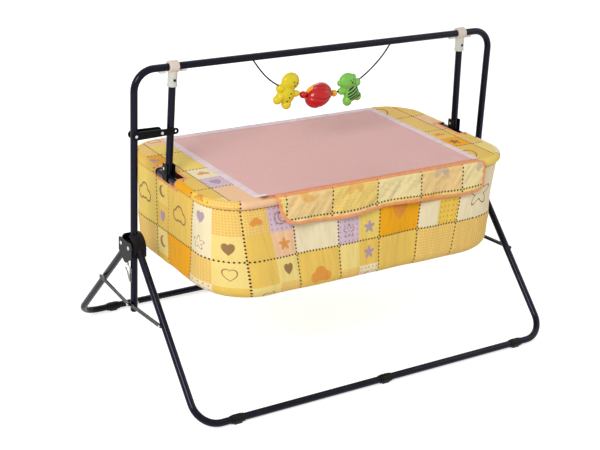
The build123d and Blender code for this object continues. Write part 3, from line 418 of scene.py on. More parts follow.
# %% [markdown]
# The print on the basket is a patchwork: squares of 14 centimetres in warm yellows, cream, peach and
# lilac, some cut in four, with a running stitch of dark dots along every seam.
# A cell number and a White Noise texture choose each patch's cut, colour and filling, so the layout never
# repeats and no picture is needed. Plain generic shapes, hearts, stars, clouds and moons, sit on some.
# Each shape is a formula for the distance from its outline, below zero inside.

# %% Shapes for the print
def length_of(tree, x, y):
    return calc(tree, "SQRT", plus(tree, times(tree, x, x), times(tree, y, y)))


def disc(tree, x, y, at_x, at_y, radius):
    from_middle = length_of(tree, minus(tree, x, at_x), minus(tree, y, at_y))
    return minus(tree, from_middle, radius)


def heart_shape(tree, x, y):
    """A circle whose height is lifted with the root of the distance from the middle line."""
    lift = times(tree, calc(tree, "SQRT", calc(tree, "ABSOLUTE", x)), 0.62)
    lowered = minus(tree, plus(tree, y, 0.22), lift)
    return minus(tree, length_of(tree, x, lowered), 0.8)


def star_shape(tree, x, y):
    turn = times(tree, calc(tree, "ARCTAN2", x, y), 5.0)
    reach = plus(tree, times(tree, calc(tree, "COSINE", turn), 0.27), 0.75)
    return minus(tree, length_of(tree, x, y), reach)


def cloud_shape(tree, x, y):
    three = ((-0.55, -0.12, 0.42), (0.0, 0.14, 0.56), (0.58, -0.1, 0.4))
    puffs = [disc(tree, x, y, *puff) for puff in three]
    return calc(tree, "MINIMUM", calc(tree, "MINIMUM", puffs[0], puffs[1]), puffs[2])


def moon_shape(tree, x, y):
    bite = times(tree, disc(tree, x, y, 0.42, 0.18, 0.72), -1.0)
    return calc(tree, "MAXIMUM", disc(tree, x, y, 0.0, 0.0, 0.9), bite)


print("shapes", [shape.__name__ for shape in (heart_shape, star_shape, cloud_shape, moon_shape)])

# %% [markdown]
# The printer's repeat puts every patch in its place on the real cloth.
# An image texture could hold that repeat, but it blurs close up and needs a file. So the group finds its
# cell by itself: rounding down gives the cell's number, and what is left gives the place inside it. The
# number feeds the dice, and a low roll cuts the patch in four.

# %% Group: patchwork print
PATCH = 0.140
STITCH_PITCH = 0.0100
STITCH_RADIUS = 0.0025
SHAPE_SIZE = 0.036
SPLIT_CHANCE = 0.27
PATCH_COLOURS = [
    (0.00, tint(252, 219, 112)), (0.26, tint(246, 205, 98)), (0.43, tint(255, 178, 14)),
    (0.50, tint(253, 226, 138)), (0.70, tint(252, 206, 160)), (0.79, tint(254, 238, 196)),
    (0.87, tint(224, 200, 216)), (0.93, tint(252, 211, 88)),
]
patchwork, given, result = start_group(
    "patchwork_print",
    [("Place", "Vector", None), ("Patch", "Float", PATCH), ("Seed", "Float", 3.0), ("Pale", "Float", 0.0)],
    [("Colour", "Color"), ("Height", "Float"), ("Seam", "Float")])
tree = patchwork


def dice(tree, x, y, seed):
    """Four steady random values for a cell."""
    roll = add_node(tree, "TexWhiteNoise", noise_dimensions="3D")
    feed(tree, roll.inputs["Vector"], join(tree, x, y, seed))
    channels = add_node(tree, "SeparateColor")
    feed(tree, channels.inputs[0], roll.outputs["Color"])
    return roll.outputs["Value"], channels.outputs[0], channels.outputs[1], channels.outputs[2]


place_x, place_y, _ = split(tree, given["Place"])
cells, edges, middles = [], [], []
whole = [divided(tree, place, given["Patch"]) for place in (place_x, place_y)]
numbers = [calc(tree, "FLOOR", value) for value in whole]
cut_roll, _, _, _ = dice(tree, numbers[0], numbers[1], given["Seed"])
count = plus(tree, 1.0, calc(tree, "LESS_THAN", cut_roll, SPLIT_CHANCE))
cell_size = divided(tree, given["Patch"], count)
for value, number in zip(whole, numbers):
    local = calc(tree, "FRACT", value)
    nearer = calc(tree, "MINIMUM", local, minus(tree, 1.0, local))
    edges.append(times(tree, nearer, given["Patch"]))
    inside = times(tree, local, count)
    cells.append(plus(tree, times(tree, number, 2.0),
                      calc(tree, "FLOOR", inside)))
    from_middle = minus(tree, calc(tree, "FRACT", inside), 0.5)
    middles.append(times(tree, from_middle, cell_size))
print("patchwork cells of", PATCH, "m")

# %% [markdown]
# Each patch has one ground colour, and some carry a fine check or spots.
# A colour ramp with constant steps turns the patch's roll into one of eight colours, and the width of a step
# is the share of patches that get it. The check comes from two sines, the spots from a grid of distances.

# %% Colour and filling of a patch
colour_roll, fill_roll, shape_roll, shade_roll = dice(
    tree, cells[0], cells[1], plus(tree, given["Seed"], 7.0))
palette = add_node(tree, "ValToRGB")
palette.color_ramp.interpolation = "CONSTANT"
for position, colour in PATCH_COLOURS[2:]:
    palette.color_ramp.elements.new(position)
for element, (position, colour) in zip(palette.color_ramp.elements, PATCH_COLOURS):
    element.position = position
    element.color = colour
feed(tree, palette.inputs[0], colour_roll)
patch_colour = palette.outputs[0]

CHECK_PITCH = 0.0075
SPOT_PITCH = 0.014
SPOT_RADIUS = 0.0024
CHECKED_BELOW, SPOTTED_ABOVE = 0.2, 0.86
CHECK_INK, SPOT_INK = tint(240, 168, 120), tint(206, 120, 62)
slanted = [calc(tree, "SINE", times(tree, slant, math.pi))
           for slant in diagonals(tree, place_x, place_y, CHECK_PITCH)]
check = soft_step(tree, times(tree, slanted[0], slanted[1]), -0.1, 0.1)
spots = []
for place in (place_x, place_y):
    offset = minus(tree, calc(tree, "FRACT", divided(tree, place, SPOT_PITCH)), 0.5)
    spots.append(times(tree, offset, SPOT_PITCH))
spot = soft_step(tree, length_of(tree, spots[0], spots[1]), SPOT_RADIUS + 0.0002, SPOT_RADIUS - 0.0002)
is_check = calc(tree, "LESS_THAN", fill_roll, CHECKED_BELOW)
is_spotted = calc(tree, "GREATER_THAN", fill_roll, SPOTTED_ABOVE)
fillings = ((check, is_check, 0.55, CHECK_INK), (spot, is_spotted, 0.75, SPOT_INK))
for filling, chosen, share, filling_ink in fillings:
    filled_share = times(tree, times(tree, filling, chosen), share)
    patch_colour = blend_colours(tree, filled_share, patch_colour, filling_ink)
print("ground colours", len(PATCH_COLOURS))

# %% [markdown]
# The shape on a patch is drawn twice over, as an outline or as a filled figure.
# A chain of Mix nodes picks one of the four formulas by the patch's roll. Nearly half the patches stay bare.

# %% Shape on a patch
shape_scale = times(tree, divided(tree, cell_size, given["Patch"]), SHAPE_SIZE)
shape_x = divided(tree, middles[0], shape_scale)
shape_y = divided(tree, middles[1], shape_scale)
outline = 1.0
SHAPES_FROM = ((heart_shape, 0.46), (star_shape, 0.6), (cloud_shape, 0.74), (moon_shape, 0.9))
OUTLINED_ABOVE, BROWN_ABOVE, ORANGE_BELOW = 0.58, 0.3, 0.16
SHAPE_STRENGTH = 0.85
for drawn, threshold in SHAPES_FROM:
    chooser = add_node(tree, "Mix", data_type="FLOAT")
    feed(tree, chooser.inputs[0], calc(tree, "GREATER_THAN", shape_roll, threshold))
    feed(tree, chooser.inputs[2], outline)
    feed(tree, chooser.inputs[3], drawn(tree, shape_x, shape_y))
    outline = chooser.outputs[0]
filled = soft_step(tree, outline, 0.05, -0.05)
edge_line = soft_step(tree, calc(tree, "ABSOLUTE", outline), 0.085, 0.05)
is_outline = calc(tree, "GREATER_THAN", shade_roll, OUTLINED_ABOVE)
drawn_shape = add_node(tree, "Mix", data_type="FLOAT")
feed(tree, drawn_shape.inputs[0], is_outline)
feed(tree, drawn_shape.inputs[2], filled)
feed(tree, drawn_shape.inputs[3], edge_line)
is_brown = calc(tree, "GREATER_THAN", shade_roll, BROWN_ABOVE)
is_orange = calc(tree, "LESS_THAN", shade_roll, ORANGE_BELOW)
ink = blend_colours(tree, is_brown, tint(176, 150, 178), tint(138, 92, 62))
ink = blend_colours(tree, is_orange, ink, tint(236, 150, 60))
patch_colour = blend_colours(tree, times(tree, drawn_shape.outputs[0], SHAPE_STRENGTH), patch_colour, ink)
print("shapes reach", SHAPE_SIZE, "m from a patch's middle")

# %% [markdown]
# A running stitch of dark thread follows every seam, and the cloth puffs up between the seams.
# Each stitch is a round dot: its distance across the seam is the distance to the patch's edge, and along the
# seam it repeats at the stitch's pitch. The same edge distance gives the puff and the painted shade of the
# seam.

# %% Stitches and seams
SEAM_WIDTH, PUFF_WIDTH = 0.004, 0.016
STITCH_THREAD = tint(14, 8, 7)
stitch = 0.0
for edge, run in ((edges[0], place_y), (edges[1], place_x)):
    beat = minus(tree, calc(tree, "FRACT", divided(tree, run, STITCH_PITCH)), 0.5)
    dot = soft_step(tree, length_of(tree, edge, times(tree, beat, STITCH_PITCH)),
                    STITCH_RADIUS * 1.1, STITCH_RADIUS * 0.95)
    stitch = calc(tree, "MAXIMUM", dot, stitch)
patch_colour = blend_colours(tree, given["Pale"], patch_colour, tint(252, 226, 132))
patch_colour = blend_colours(tree, stitch, patch_colour, STITCH_THREAD)
seam_gap = calc(tree, "MINIMUM", edges[0], edges[1])
seam_shade = soft_step(tree, seam_gap, 0.0, SEAM_WIDTH)
puff = soft_step(tree, seam_gap, 0.0, PUFF_WIDTH)
feed(tree, result["Colour"], patch_colour)
feed(tree, result["Height"], minus(tree, puff, times(tree, stitch, 0.12)))
feed(tree, result["Seam"], seam_shade)
print("patchwork nodes", len(patchwork.nodes))

# %% [markdown]
# Each finish is a material of its own, a short function of the groups above.
# A material starts with its Principled shader and with the place on the surface in metres. The packed
# nodes and the modelled pieces all lie in the cradle's own frame, so Object coordinates serve. Cloth that
# has been laid out flat takes its place from a UV map in metres, so its print runs true round corners.

# %% Start a material
LAID_FLAT = "laid_flat"


def start_finish(name, laid_flat=False):
    material = bpy.data.materials.new(name)
    material.use_nodes = True
    tree = material.node_tree
    shader = tree.nodes["Principled BSDF"]
    if laid_flat:
        place = add_node(tree, "UVMap", uv_map=LAID_FLAT).outputs[0]
    else:
        place = add_node(tree, "TexCoord").outputs["Object"]
    return material, tree, shader, place


def set_roughness(tree, shader, shade, share, base):
    """Roughness that follows a shade: base where the shade is 0, and base plus share where it is 1."""
    feed(tree, shader.inputs["Roughness"], plus(tree, times(tree, shade, share), base))


def raise_bump(tree, shader, height, distance):
    bump = add_node(tree, "Bump")
    bump.inputs["Distance"].default_value = distance
    bump.inputs["Strength"].default_value = 1.0
    feed(tree, bump.inputs["Height"], height)
    tree.links.new(bump.outputs[0], shader.inputs["Normal"])


print("cloth takes its place from the UV map", LAID_FLAT)

# %% [markdown]
# The stand's tubes wear a thick black enamel with a blue cast.
# Plain black would look like a hole, so the base is a very dark blue, and a thin coat over it gives a second,
# sharp highlight. Grain bends the reflections a little, and dust and worn edges break them.

# %% Gloss black enamel of the tubes
ENAMEL_DARK, ENAMEL_LIGHT = tint(7, 7, 16), tint(13, 13, 28)


def gloss_enamel():
    """Thick blue-black enamel on drawn steel tube, with a little orange peel and dust."""
    material, tree, shader, place = start_finish("gloss_black_enamel")
    peel = place_group(tree, grain, Place=place, Coarse=120.0, Fine=900.0, Share=0.25)
    dust = place_group(tree, settled_dust, Place=place, Amount=0.035)
    worn = place_group(tree, worn_edges, Place=place, Amount=0.3, Patch=140.0)
    colour = blend_colours(tree, peel["Shade"], ENAMEL_DARK, ENAMEL_LIGHT)
    colour = blend_colours(tree, dust["Mask"], colour, tint(150, 148, 150))
    colour = blend_colours(tree, worn["Mask"], colour, tint(70, 70, 84))
    feed(tree, shader.inputs["Base Color"], colour)
    set_roughness(tree, shader, dust["Mask"], 1.6, 0.2)
    shader.inputs["Specular IOR Level"].default_value = 0.12
    shader.inputs["Specular Tint"].default_value = tint(190, 200, 255)
    shader.inputs["Coat Weight"].default_value = 0.14
    shader.inputs["Coat Roughness"].default_value = 0.05
    raise_bump(tree, shader, peel["Height"], 0.00008)
    return material


print("enamel as linear light", [round(c, 4) for c in ENAMEL_DARK[:3]])

# %% [markdown]
# Housings, end caps, feet and sleeves are moulded, and the mould's sparked steel leaves a fine grain.
# Such plastics differ in colour, gloss and dust only, so one function makes them all and takes those as
# arguments. Edges that hands and floors rub turn paler.

# %% Moulded plastics
def moulded(name, colour, darker, roughness, peel_depth, dust_amount, worn_colour, gloss=0.5):
    """A moulded plastic: fine sparked grain, a little dust, and edges rubbed paler."""
    material, tree, shader, place = start_finish(name)
    shader.inputs["Specular IOR Level"].default_value = gloss
    skin = place_group(tree, grain, Place=place, Coarse=260.0, Fine=2600.0, Share=0.7)
    dust = place_group(tree, settled_dust, Place=place, Amount=dust_amount)
    worn = place_group(tree, worn_edges, Place=place, Amount=0.5, Patch=220.0)
    mixed = blend_colours(tree, skin["Shade"], darker, colour)
    mixed = blend_colours(tree, dust["Mask"], mixed, tint(168, 165, 160))
    mixed = blend_colours(tree, worn["Mask"], mixed, worn_colour)
    feed(tree, shader.inputs["Base Color"], mixed)
    set_roughness(tree, shader, skin["Shade"], 0.16, roughness - 0.08)
    raise_bump(tree, shader, skin["Height"], peel_depth)
    return material


print("edges wear over", round(EDGE_REACH / MM, 2), "mm")

# %% [markdown]
# The small hardware is bare or plated steel.
# A metal has Metallic at 1, and its look comes from the roughness. A Mapping node stretches the grain along
# one axis, which gives the streaks that rolling leaves, and a blotchy noise adds dull stains.

# %% Steels and screws
STREAK_HEIGHT = 0.00004


def plated_steel(name, colour, stained, roughness, streaks):
    """Plated or bare steel: fine rolling streaks, a few dull stains, brighter where it is rubbed."""
    material, tree, shader, place = start_finish(name)
    stretched = add_node(tree, "Mapping")
    feed(tree, stretched.inputs["Vector"], place)
    stretched.inputs["Scale"].default_value = (1.0, 1.0, streaks)
    lines = place_group(tree, grain, Place=stretched.outputs[0], Coarse=420.0, Fine=3000.0, Share=0.6)
    blot = soft_step(tree, speckle(tree, place, 210.0, 4.0), 0.5, 0.75)
    worn = place_group(tree, worn_edges, Place=place, Amount=0.5, Patch=300.0)
    mixed = blend_colours(tree, times(tree, blot, 0.6), colour, stained)
    mixed = blend_colours(tree, worn["Mask"], mixed, tint(225, 225, 228))
    feed(tree, shader.inputs["Base Color"], mixed)
    shader.inputs["Metallic"].default_value = 1.0
    feed(tree, shader.inputs["Roughness"],
         plus(tree, times(tree, blot, 0.2), times(tree, lines["Shade"], roughness)))
    raise_bump(tree, shader, lines["Height"], STREAK_HEIGHT)
    return material


print("streaks stand", round(STREAK_HEIGHT / MM, 2), "mm high")

# %% [markdown]
# The toys are soft vinyl and hard glossy beads, and one figure wears painted stripes.
# Light goes a little way into such plastic, so some subsurface scattering softens its shadows. Pointiness
# serves here, because the melted figures have fine meshes, and it places painted shade that deepens the
# colour in the hollows.

# %% Toy plastics and vinyl
BELLY_X, BELLY_Z, BELLY_FRONT = 0.0945, 0.6965, -0.004
BELLY_HALF = 0.0215
STRIPE_PITCH = 0.0095
STRIPE_SLOPE = 0.62


def belly_stripes(tree, place):
    """Slanting painted stripes inside a round field on the front of a figure."""
    x, y, z = split(tree, place)
    off_x = minus(tree, x, BELLY_X)
    off_z = minus(tree, z, BELLY_Z)
    slant = minus(tree, off_z, times(tree, off_x, STRIPE_SLOPE))
    wave = calc(tree, "SINE", times(tree, slant, 2 * math.pi / STRIPE_PITCH))
    field = soft_step(tree, length_of(tree, off_x, off_z), BELLY_HALF, BELLY_HALF - 0.0008)
    front = calc(tree, "LESS_THAN", y, BELLY_FRONT)
    stripe = times(tree, soft_step(tree, wave, -0.3, -0.14), field)
    return times(tree, stripe, front)


def toy_skin(name, colour, deeper, roughness, coat, stripes=False):
    """Soft moulded vinyl or hard toy plastic, with painted shade deepening the hollows, and a faint mottle.
    """
    material, tree, shader, place = start_finish(name)
    skin = place_group(tree, grain, Place=place, Coarse=90.0, Fine=1400.0, Share=0.3)
    surface = add_node(tree, "NewGeometry")
    # Painted shade: pointiness finds the hollows, where the colour is deepened.
    hollow_painted_shade = soft_step(tree, surface.outputs["Pointiness"], 0.5, 0.42)
    mixed = blend_colours(tree, times(tree, skin["Shade"], 0.35), colour, deeper)
    mixed = blend_colours(tree, times(tree, hollow_painted_shade, 0.6), mixed, deeper)
    if stripes:
        mixed = blend_colours(tree, belly_stripes(tree, place), mixed, tint(9, 10, 8))
    feed(tree, shader.inputs["Base Color"], mixed)
    set_roughness(tree, shader, skin["Shade"], 0.1, roughness)
    shader.inputs["Specular IOR Level"].default_value = 0.25
    shader.inputs["Coat Weight"].default_value = coat
    shader.inputs["Coat Roughness"].default_value = 0.08
    shader.inputs["Subsurface Weight"].default_value = 0.05
    shader.inputs["Subsurface Scale"].default_value = 0.004
    raise_bump(tree, shader, skin["Height"], 0.0001)
    return material


print("belly stripes", round(2 * BELLY_HALF / STRIPE_PITCH, 1), "across the field")

# %% [markdown]
# Two finishes serve one kind of piece each.
# The board under the mattress is pressed fibre, so grain gives its colour. A hanger sleeve is two mouldings
# in slightly different whites, and the height alone tells which of them a place belongs to.

# %% Board and hanger sleeves
def fibreboard():
    """Pressed brown board: flecks of fibre on a mottled ground."""
    material, tree, shader, place = start_finish("pressed_fibreboard")
    flecks = place_group(tree, grain, Place=place, Coarse=300.0, Fine=1200.0, Share=0.5)
    feed(tree, shader.inputs["Base Color"],
         blend_colours(tree, flecks["Height"], tint(120, 90, 62), tint(170, 136, 98)))
    set_roughness(tree, shader, flecks["Shade"], 0.2, 0.6)
    raise_bump(tree, shader, flecks["Height"], 0.0003)
    return material


SLEEVE_SEAM_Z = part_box("t_sleeve_left")[1].z - 31 * MM
SEAM_BLUR = 1 * MM


def two_tone_sleeve():
    """The hanger sleeves: a warm ivory ring round the bar, over a greyer socket for the hanger."""
    material, tree, shader, place = start_finish("two_tone_sleeve")
    skin = place_group(tree, grain, Place=place, Coarse=260.0, Fine=2600.0, Share=0.7)
    ring = soft_step(tree, split(tree, place)[2], SLEEVE_SEAM_Z - SEAM_BLUR, SLEEVE_SEAM_Z + SEAM_BLUR)
    warm = blend_colours(tree, skin["Shade"], tint(206, 190, 178), tint(230, 214, 202))
    cool = blend_colours(tree, skin["Shade"], tint(192, 194, 184), tint(216, 217, 207))
    feed(tree, shader.inputs["Base Color"], blend_colours(tree, ring, cool, warm))
    set_roughness(tree, shader, skin["Shade"], 0.16, 0.28)
    raise_bump(tree, shader, skin["Height"], 0.00005)
    return material


print("hanger sleeves change colour at", round(SLEEVE_SEAM_Z, 3), "m")

# %% [markdown]
# Now the record's material slots are matched to finishes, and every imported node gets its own.
# The record already says which node has which slot, so one loop dresses the whole stand. A few nodes look
# unlike the rest of their slot on the real cradle, such as the painted lock bar, and have their own table.

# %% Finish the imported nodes
finishes = {
    "gloss_black_paint": gloss_enamel(),
    "black_plastic": moulded("satin_black_moulding", tint(12, 11, 13), tint(7, 6, 8), 0.42, 0.00006,
                             0.04, tint(56, 55, 60), gloss=0.14),
    "dark_steel": plated_steel("dark_phosphate_steel", tint(46, 48, 48), tint(30, 32, 32), 0.62, 0.2),
    "zinc_steel": plated_steel("bright_zinc", tint(204, 206, 212), tint(140, 142, 148), 0.42, 1.0),
    "spring_steel": plated_steel("bare_spring_steel", tint(124, 122, 116), tint(80, 78, 74), 0.5, 0.15),
    "black_screw": moulded("black_oxide_screw", tint(22, 22, 24), tint(14, 14, 16), 0.5, 0.00004, 0.05,
                           tint(96, 96, 98), gloss=0.25),
    "ivory_plastic": moulded("ivory_moulding", tint(226, 217, 206), tint(206, 195, 182), 0.36, 0.00005, 0.08,
                             tint(240, 236, 228)),
    "clear_plastic": moulded("milky_moulding", tint(236, 236, 232), tint(214, 214, 212), 0.28, 0.00003, 0.04,
                             tint(248, 248, 246)),
    "white_plastic": moulded("white_pull_plastic", tint(238, 238, 234), tint(222, 221, 216), 0.3, 0.00003,
                             0.03, tint(248, 248, 246)),
    "zip_metal": plated_steel("dark_nickel_slider", tint(120, 118, 120), tint(74, 72, 74), 0.5, 1.0),
    "fibreboard": fibreboard(),
    "red_plastic": toy_skin("glossy_red_plastic", tint(206, 14, 18), tint(128, 2, 8), 0.2, 0.35),
    "orange_plastic": toy_skin("glossy_amber_plastic", tint(250, 186, 54), tint(232, 144, 30), 0.2, 0.3),
    "yellow_vinyl": toy_skin("yellow_vinyl", tint(234, 214, 30), tint(190, 158, 10), 0.3, 0.25),
    "green_vinyl": toy_skin("green_vinyl", tint(134, 206, 86), tint(84, 156, 56), 0.3, 0.25, stripes=True),
}
black_strip = moulded("black_painted_strip", tint(12, 12, 15), tint(8, 8, 11), 0.5, 0.00003, 0.02,
                      tint(52, 52, 58), gloss=0.1)
sleeve_ivory = two_tone_sleeve()
own_finish = {"lock_bar": black_strip, "rim_bracket_left": black_strip, "rim_bracket_right": black_strip,
              "t_sleeve_left": sleeve_ivory, "t_sleeve_right": sleeve_ivory}
finished = 0
for part in frame["record"]["subparts"]:
    finish = own_finish.get(part["node"], finishes.get(part["material_slot"]))
    if finish is not None:
        mesh = nodes[part["node"]].data
        mesh.materials.clear()
        mesh.materials.append(finish)
        finished += 1
print("finished", finished, "packed nodes")

# %% [markdown]
# The cloths share one recipe: colour from a print or a dye, a woven bump, soft creases and a dull sheen.
# Sheen is the pale bloom that cotton shows where one looks along it.

# %% Cotton cloths
COTTON_SHEEN = 0.05
COTTON_SPECULAR = 0.2
WRINKLE_WAVES, WRINKLE_STRETCH = 38.0, 3.6
# Painted shade colours: the first darkens the seams, the second the gaps between threads.
SEAM_PAINTED_SHADE, THREAD_GAP_SHADE = tint(120, 80, 50), tint(110, 74, 46)


def cotton(name, seed=3.0, pale=0.0, dye=None, crease=0.0012, weave_pitch=0.0009, wrinkle=0.0, lean=0.0):
    """Printed or dyed cotton: without a dye it carries the patchwork.

    The crease, the weave's pitch and the wrinkle are in metres. Wrinkles run along the drop, or lean from it
    by so many degrees.
    """
    material, tree, shader, place = start_finish(name, laid_flat=True)
    threads = place_group(tree, plain_weave, Place=place, Pitch=weave_pitch)
    soft = speckle(tree, place, 26.0, 4.0)
    height = times(tree, soft, crease)
    height = plus(tree, height, times(tree, threads["Height"], 0.00012))
    if wrinkle > 0:
        leaning = add_node(tree, "Mapping", vector_type="TEXTURE")
        feed(tree, leaning.inputs["Vector"], place)
        leaning.inputs["Rotation"].default_value = (0.0, 0.0, math.radians(lean))
        leaning.inputs["Scale"].default_value = (1.0, WRINKLE_STRETCH, 1.0)
        folds = speckle(tree, leaning.outputs[0], WRINKLE_WAVES, 1.4)
        height = plus(tree, height, times(tree, folds, wrinkle))
    if dye is None:
        printed = place_group(tree, patchwork, Place=place, Patch=PATCH, Seed=seed, Pale=pale)
        # Painted shade: the print darkens towards each seam, where the cloth dips.
        seam_painted_shade_colour = blend_colours(tree, 0.08, printed["Colour"], SEAM_PAINTED_SHADE)
        colour = blend_colours(tree, printed["Seam"], seam_painted_shade_colour, printed["Colour"])
        height = plus(tree, height, times(tree, printed["Height"], 0.0007))
    else:
        mottled = soft_step(tree, speckle(tree, place, 60.0), 0.3, 0.7)
        colour = blend_colours(tree, mottled, dye, tuple(c * 0.86 for c in dye[:3]) + (1.0,))
    # Painted shade in the gaps between the threads of the weave.
    painted_thread_gap_shade = times(tree, minus(tree, 1.0, threads["Shade"]), 0.16)
    colour = blend_colours(tree, painted_thread_gap_shade, colour, THREAD_GAP_SHADE)
    feed(tree, shader.inputs["Base Color"], colour)
    set_roughness(tree, shader, soft, 0.15, 0.72)
    shader.inputs["Specular IOR Level"].default_value = COTTON_SPECULAR
    shader.inputs["Sheen Weight"].default_value = COTTON_SHEEN
    shader.inputs["Sheen Roughness"].default_value = 0.5
    raise_bump(tree, shader, height, 1.0)
    return material


patchwork_cotton = cotton("patchwork_cotton", seed=3.0, wrinkle=0.005, lean=6.0)
cover_cotton = cotton("cover_cotton", seed=21.0, wrinkle=0.005, lean=-50.0)
flap_cotton = cotton("flap_cotton", seed=52.0, pale=0.45, crease=0.003, wrinkle=0.012, lean=-42.0)
base_cotton = cotton("base_cotton", dye=tint(228, 190, 110))
binding_cotton = cotton("orange_binding", dye=tint(254, 170, 116), crease=0.0004, weave_pitch=0.0007)
lilac_binding = cotton("lilac_binding", dye=tint(250, 228, 234), crease=0.0004, weave_pitch=0.0007)
print("cottons", patchwork_cotton.name, cover_cotton.name, flap_cotton.name)

# %% [markdown]
# The builder for laid cloth takes two functions: where a corner of the grid lies in space, and where it
# lay on the cutting table. The second becomes the UV map in metres.
# A grid of quads is the natural mesh for cloth, since it bends along both thread directions.

# %% Lay a grid of cloth
def smooth_shade(mesh):
    mesh.polygons.foreach_set("use_smooth", [True] * len(mesh.polygons))


def link_mesh(name, mesh, material):
    mesh.materials.append(material)
    piece = bpy.data.objects.new(name, mesh)
    bpy.context.scene.collection.objects.link(piece)
    smooth_shade(mesh)
    return piece


def made_mesh(name, shell):
    """Turn an edit mesh into plain mesh data."""
    mesh = bpy.data.meshes.new(name)
    shell.to_mesh(mesh)
    shell.free()
    return mesh


def cloth_grid(name, rows, columns, at, flat_at, material, closed=False):
    """A mesh of quads: at gives each corner's place, flat_at its place on the cutting table."""
    wrap = columns if closed else columns + 1
    corners = [at(i, j) for i in range(rows + 1) for j in range(wrap)]
    faces, flat = [], []
    for i in range(rows):
        for j in range(columns):
            quad = ((i, j), (i, j + 1), (i + 1, j + 1), (i + 1, j))
            faces.append([a * wrap + b % wrap for a, b in quad])
            flat += [flat_at(a, b) for a, b in quad]
    mesh = bpy.data.meshes.new(name)
    mesh.from_pydata(corners, [], faces)
    laid = mesh.uv_layers.new(name=LAID_FLAT)
    for spot, place in zip(laid.data, flat):
        spot.uv = place
    return link_mesh(name, mesh, material)


print("meshes before the cloth", len(bpy.data.meshes))

# %% [markdown]
# Modifiers thicken or remesh a piece, but they leave its own mesh as it was.
# The next helpers apply them at once, so that the mesh itself holds what is seen. Ripple is the noise that
# bends all the cloth: the same place gives the same value in every run, so nothing is left to chance.

# %% Modifiers and noise
def apply_modifiers(piece):
    """Bake the modifiers into the mesh, so that the mesh holds what is seen."""
    graph = bpy.context.evaluated_depsgraph_get()
    done = bpy.data.meshes.new_from_object(piece.evaluated_get(graph))
    piece.modifiers.clear()
    piece.data = done
    return piece


def even_faces(piece, size):
    """A modifier that remeshes a piece into even faces of this size."""
    remesh = piece.modifiers.new("even_faces", "REMESH")
    remesh.mode = "VOXEL"
    remesh.voxel_size = size


def thicken(piece, thickness, offset=-1.0):
    """Give a sheet its thickness; an offset of -1 keeps the outer face in place."""
    solid = piece.modifiers.new("thickness", "SOLIDIFY")
    solid.thickness = thickness
    solid.offset = offset
    solid.use_rim = True
    return apply_modifiers(piece)


def ripple(x, y, z, scale, seed=0.0):
    """Smooth noise between -1 and 1 at a place, with waves this long."""
    return noise.noise(Vector((x / scale + seed, y / scale - seed, z / scale + 0.37 * seed)))


print("one ripple", round(ripple(0.1, 0.2, 0.3, 0.05), 3))

# %% [markdown]
# The basket hangs from an oblong rim with round corners.
# Walking round such an oblong in fixed steps gives points and outward directions. The same walk serves the
# wall, the rim's roll and the cover, so their columns meet.

# %% Walk round an oblong
TUBE_R = 9.5 * MM
RIM_CORNER = 104 * MM
rim_low, rim_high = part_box("rim_tube")
RIM_L = rim_high.x - TUBE_R
RIM_W = rim_high.y - TUBE_R
RIM_Z = (rim_low.z + rim_high.z) / 2
END_STEPS, BEND_STEPS, SIDE_STEPS = 20, 18, 64


def oblong(half_l, half_w, corner):
    """Places and outward directions round an oblong, from the middle of its left end by the front."""
    walk = []
    turns = [((-1, -1), math.pi), ((1, -1), 1.5 * math.pi), ((1, 1), 0.0), ((-1, 1), 0.5 * math.pi)]
    straights = [
        ((-half_l, 0.0), (-half_l, corner - half_w), (-1, 0), END_STEPS // 2),
        ((corner - half_l, -half_w), (half_l - corner, -half_w), (0, -1), SIDE_STEPS),
        ((half_l, corner - half_w), (half_l, half_w - corner), (1, 0), END_STEPS),
        ((half_l - corner, half_w), (corner - half_l, half_w), (0, 1), SIDE_STEPS),
        ((-half_l, half_w - corner), (-half_l, 0.0), (-1, 0), END_STEPS // 2),
    ]
    for number, (start, end, outward, steps) in enumerate(straights):
        for i in range(steps):
            share = i / steps
            walk.append((start[0] + (end[0] - start[0]) * share, start[1] + (end[1] - start[1]) * share,
                         outward[0], outward[1]))
        if number == len(straights) - 1:
            break
        (way_x, way_y), first = turns[number]
        for i in range(BEND_STEPS):
            angle = first + math.pi / 2 * i / BEND_STEPS
            walk.append((way_x * (half_l - corner) + corner * math.cos(angle),
                         way_y * (half_w - corner) + corner * math.sin(angle),
                         math.cos(angle), math.sin(angle)))
    return walk


rim_walk = oblong(RIM_L, RIM_W, RIM_CORNER)
rim_run = [0.0]
for here, after in zip(rim_walk, rim_walk[1:] + rim_walk[:1]):
    rim_run.append(rim_run[-1] + math.hypot(after[0] - here[0], after[1] - here[1]))
COLUMNS = len(rim_walk)
print("rim", round(rim_run[-1], 3), "m round in", COLUMNS, "steps")

# %% [markdown]
# The basket's wall is one band of quilted cotton, wider at the foot than at the rim.
# It could be five flat panels, but cloth never hangs flat: the wall leans out, rounds into the base and
# shows soft folds under the rim where the cloth is gathered. Each patch also swells a little between its
# seams, which here is real shape and not only a bump.

# %% Basket wall
tub_low, tub_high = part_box("tub_cloth")
WALL_TOP_OUT = 1 * MM
WALL_CORNER_LOW = 158 * MM
WALL_EDGE = 30 * MM
WALL_ROWS, EDGE_ROWS = 34, 10
WALL_THICK = 1.5 * MM
GATHER = 1.5 * MM
DRAPE = 7 * MM
SWELL = 0.7 * MM
WALL_L = 0.465
WALL_W = tub_high.y
SWELL_REACH = 7 * MM
GATHER_WAVE, GATHER_FADE = 0.026, 0.035
DRAPE_FROM, STITCHED_TOP = 0.08, 0.012


def wall_size(z):
    """Half length, half width and corner of the wall's outline at a height."""
    share = (tub_high.z - z) / (tub_high.z - tub_low.z)
    top = (RIM_L + WALL_TOP_OUT, RIM_W + WALL_TOP_OUT, RIM_CORNER + WALL_TOP_OUT)
    low = (WALL_L, WALL_W, WALL_CORNER_LOW)
    return [a + (b - a) * share for a, b in zip(top, low)]


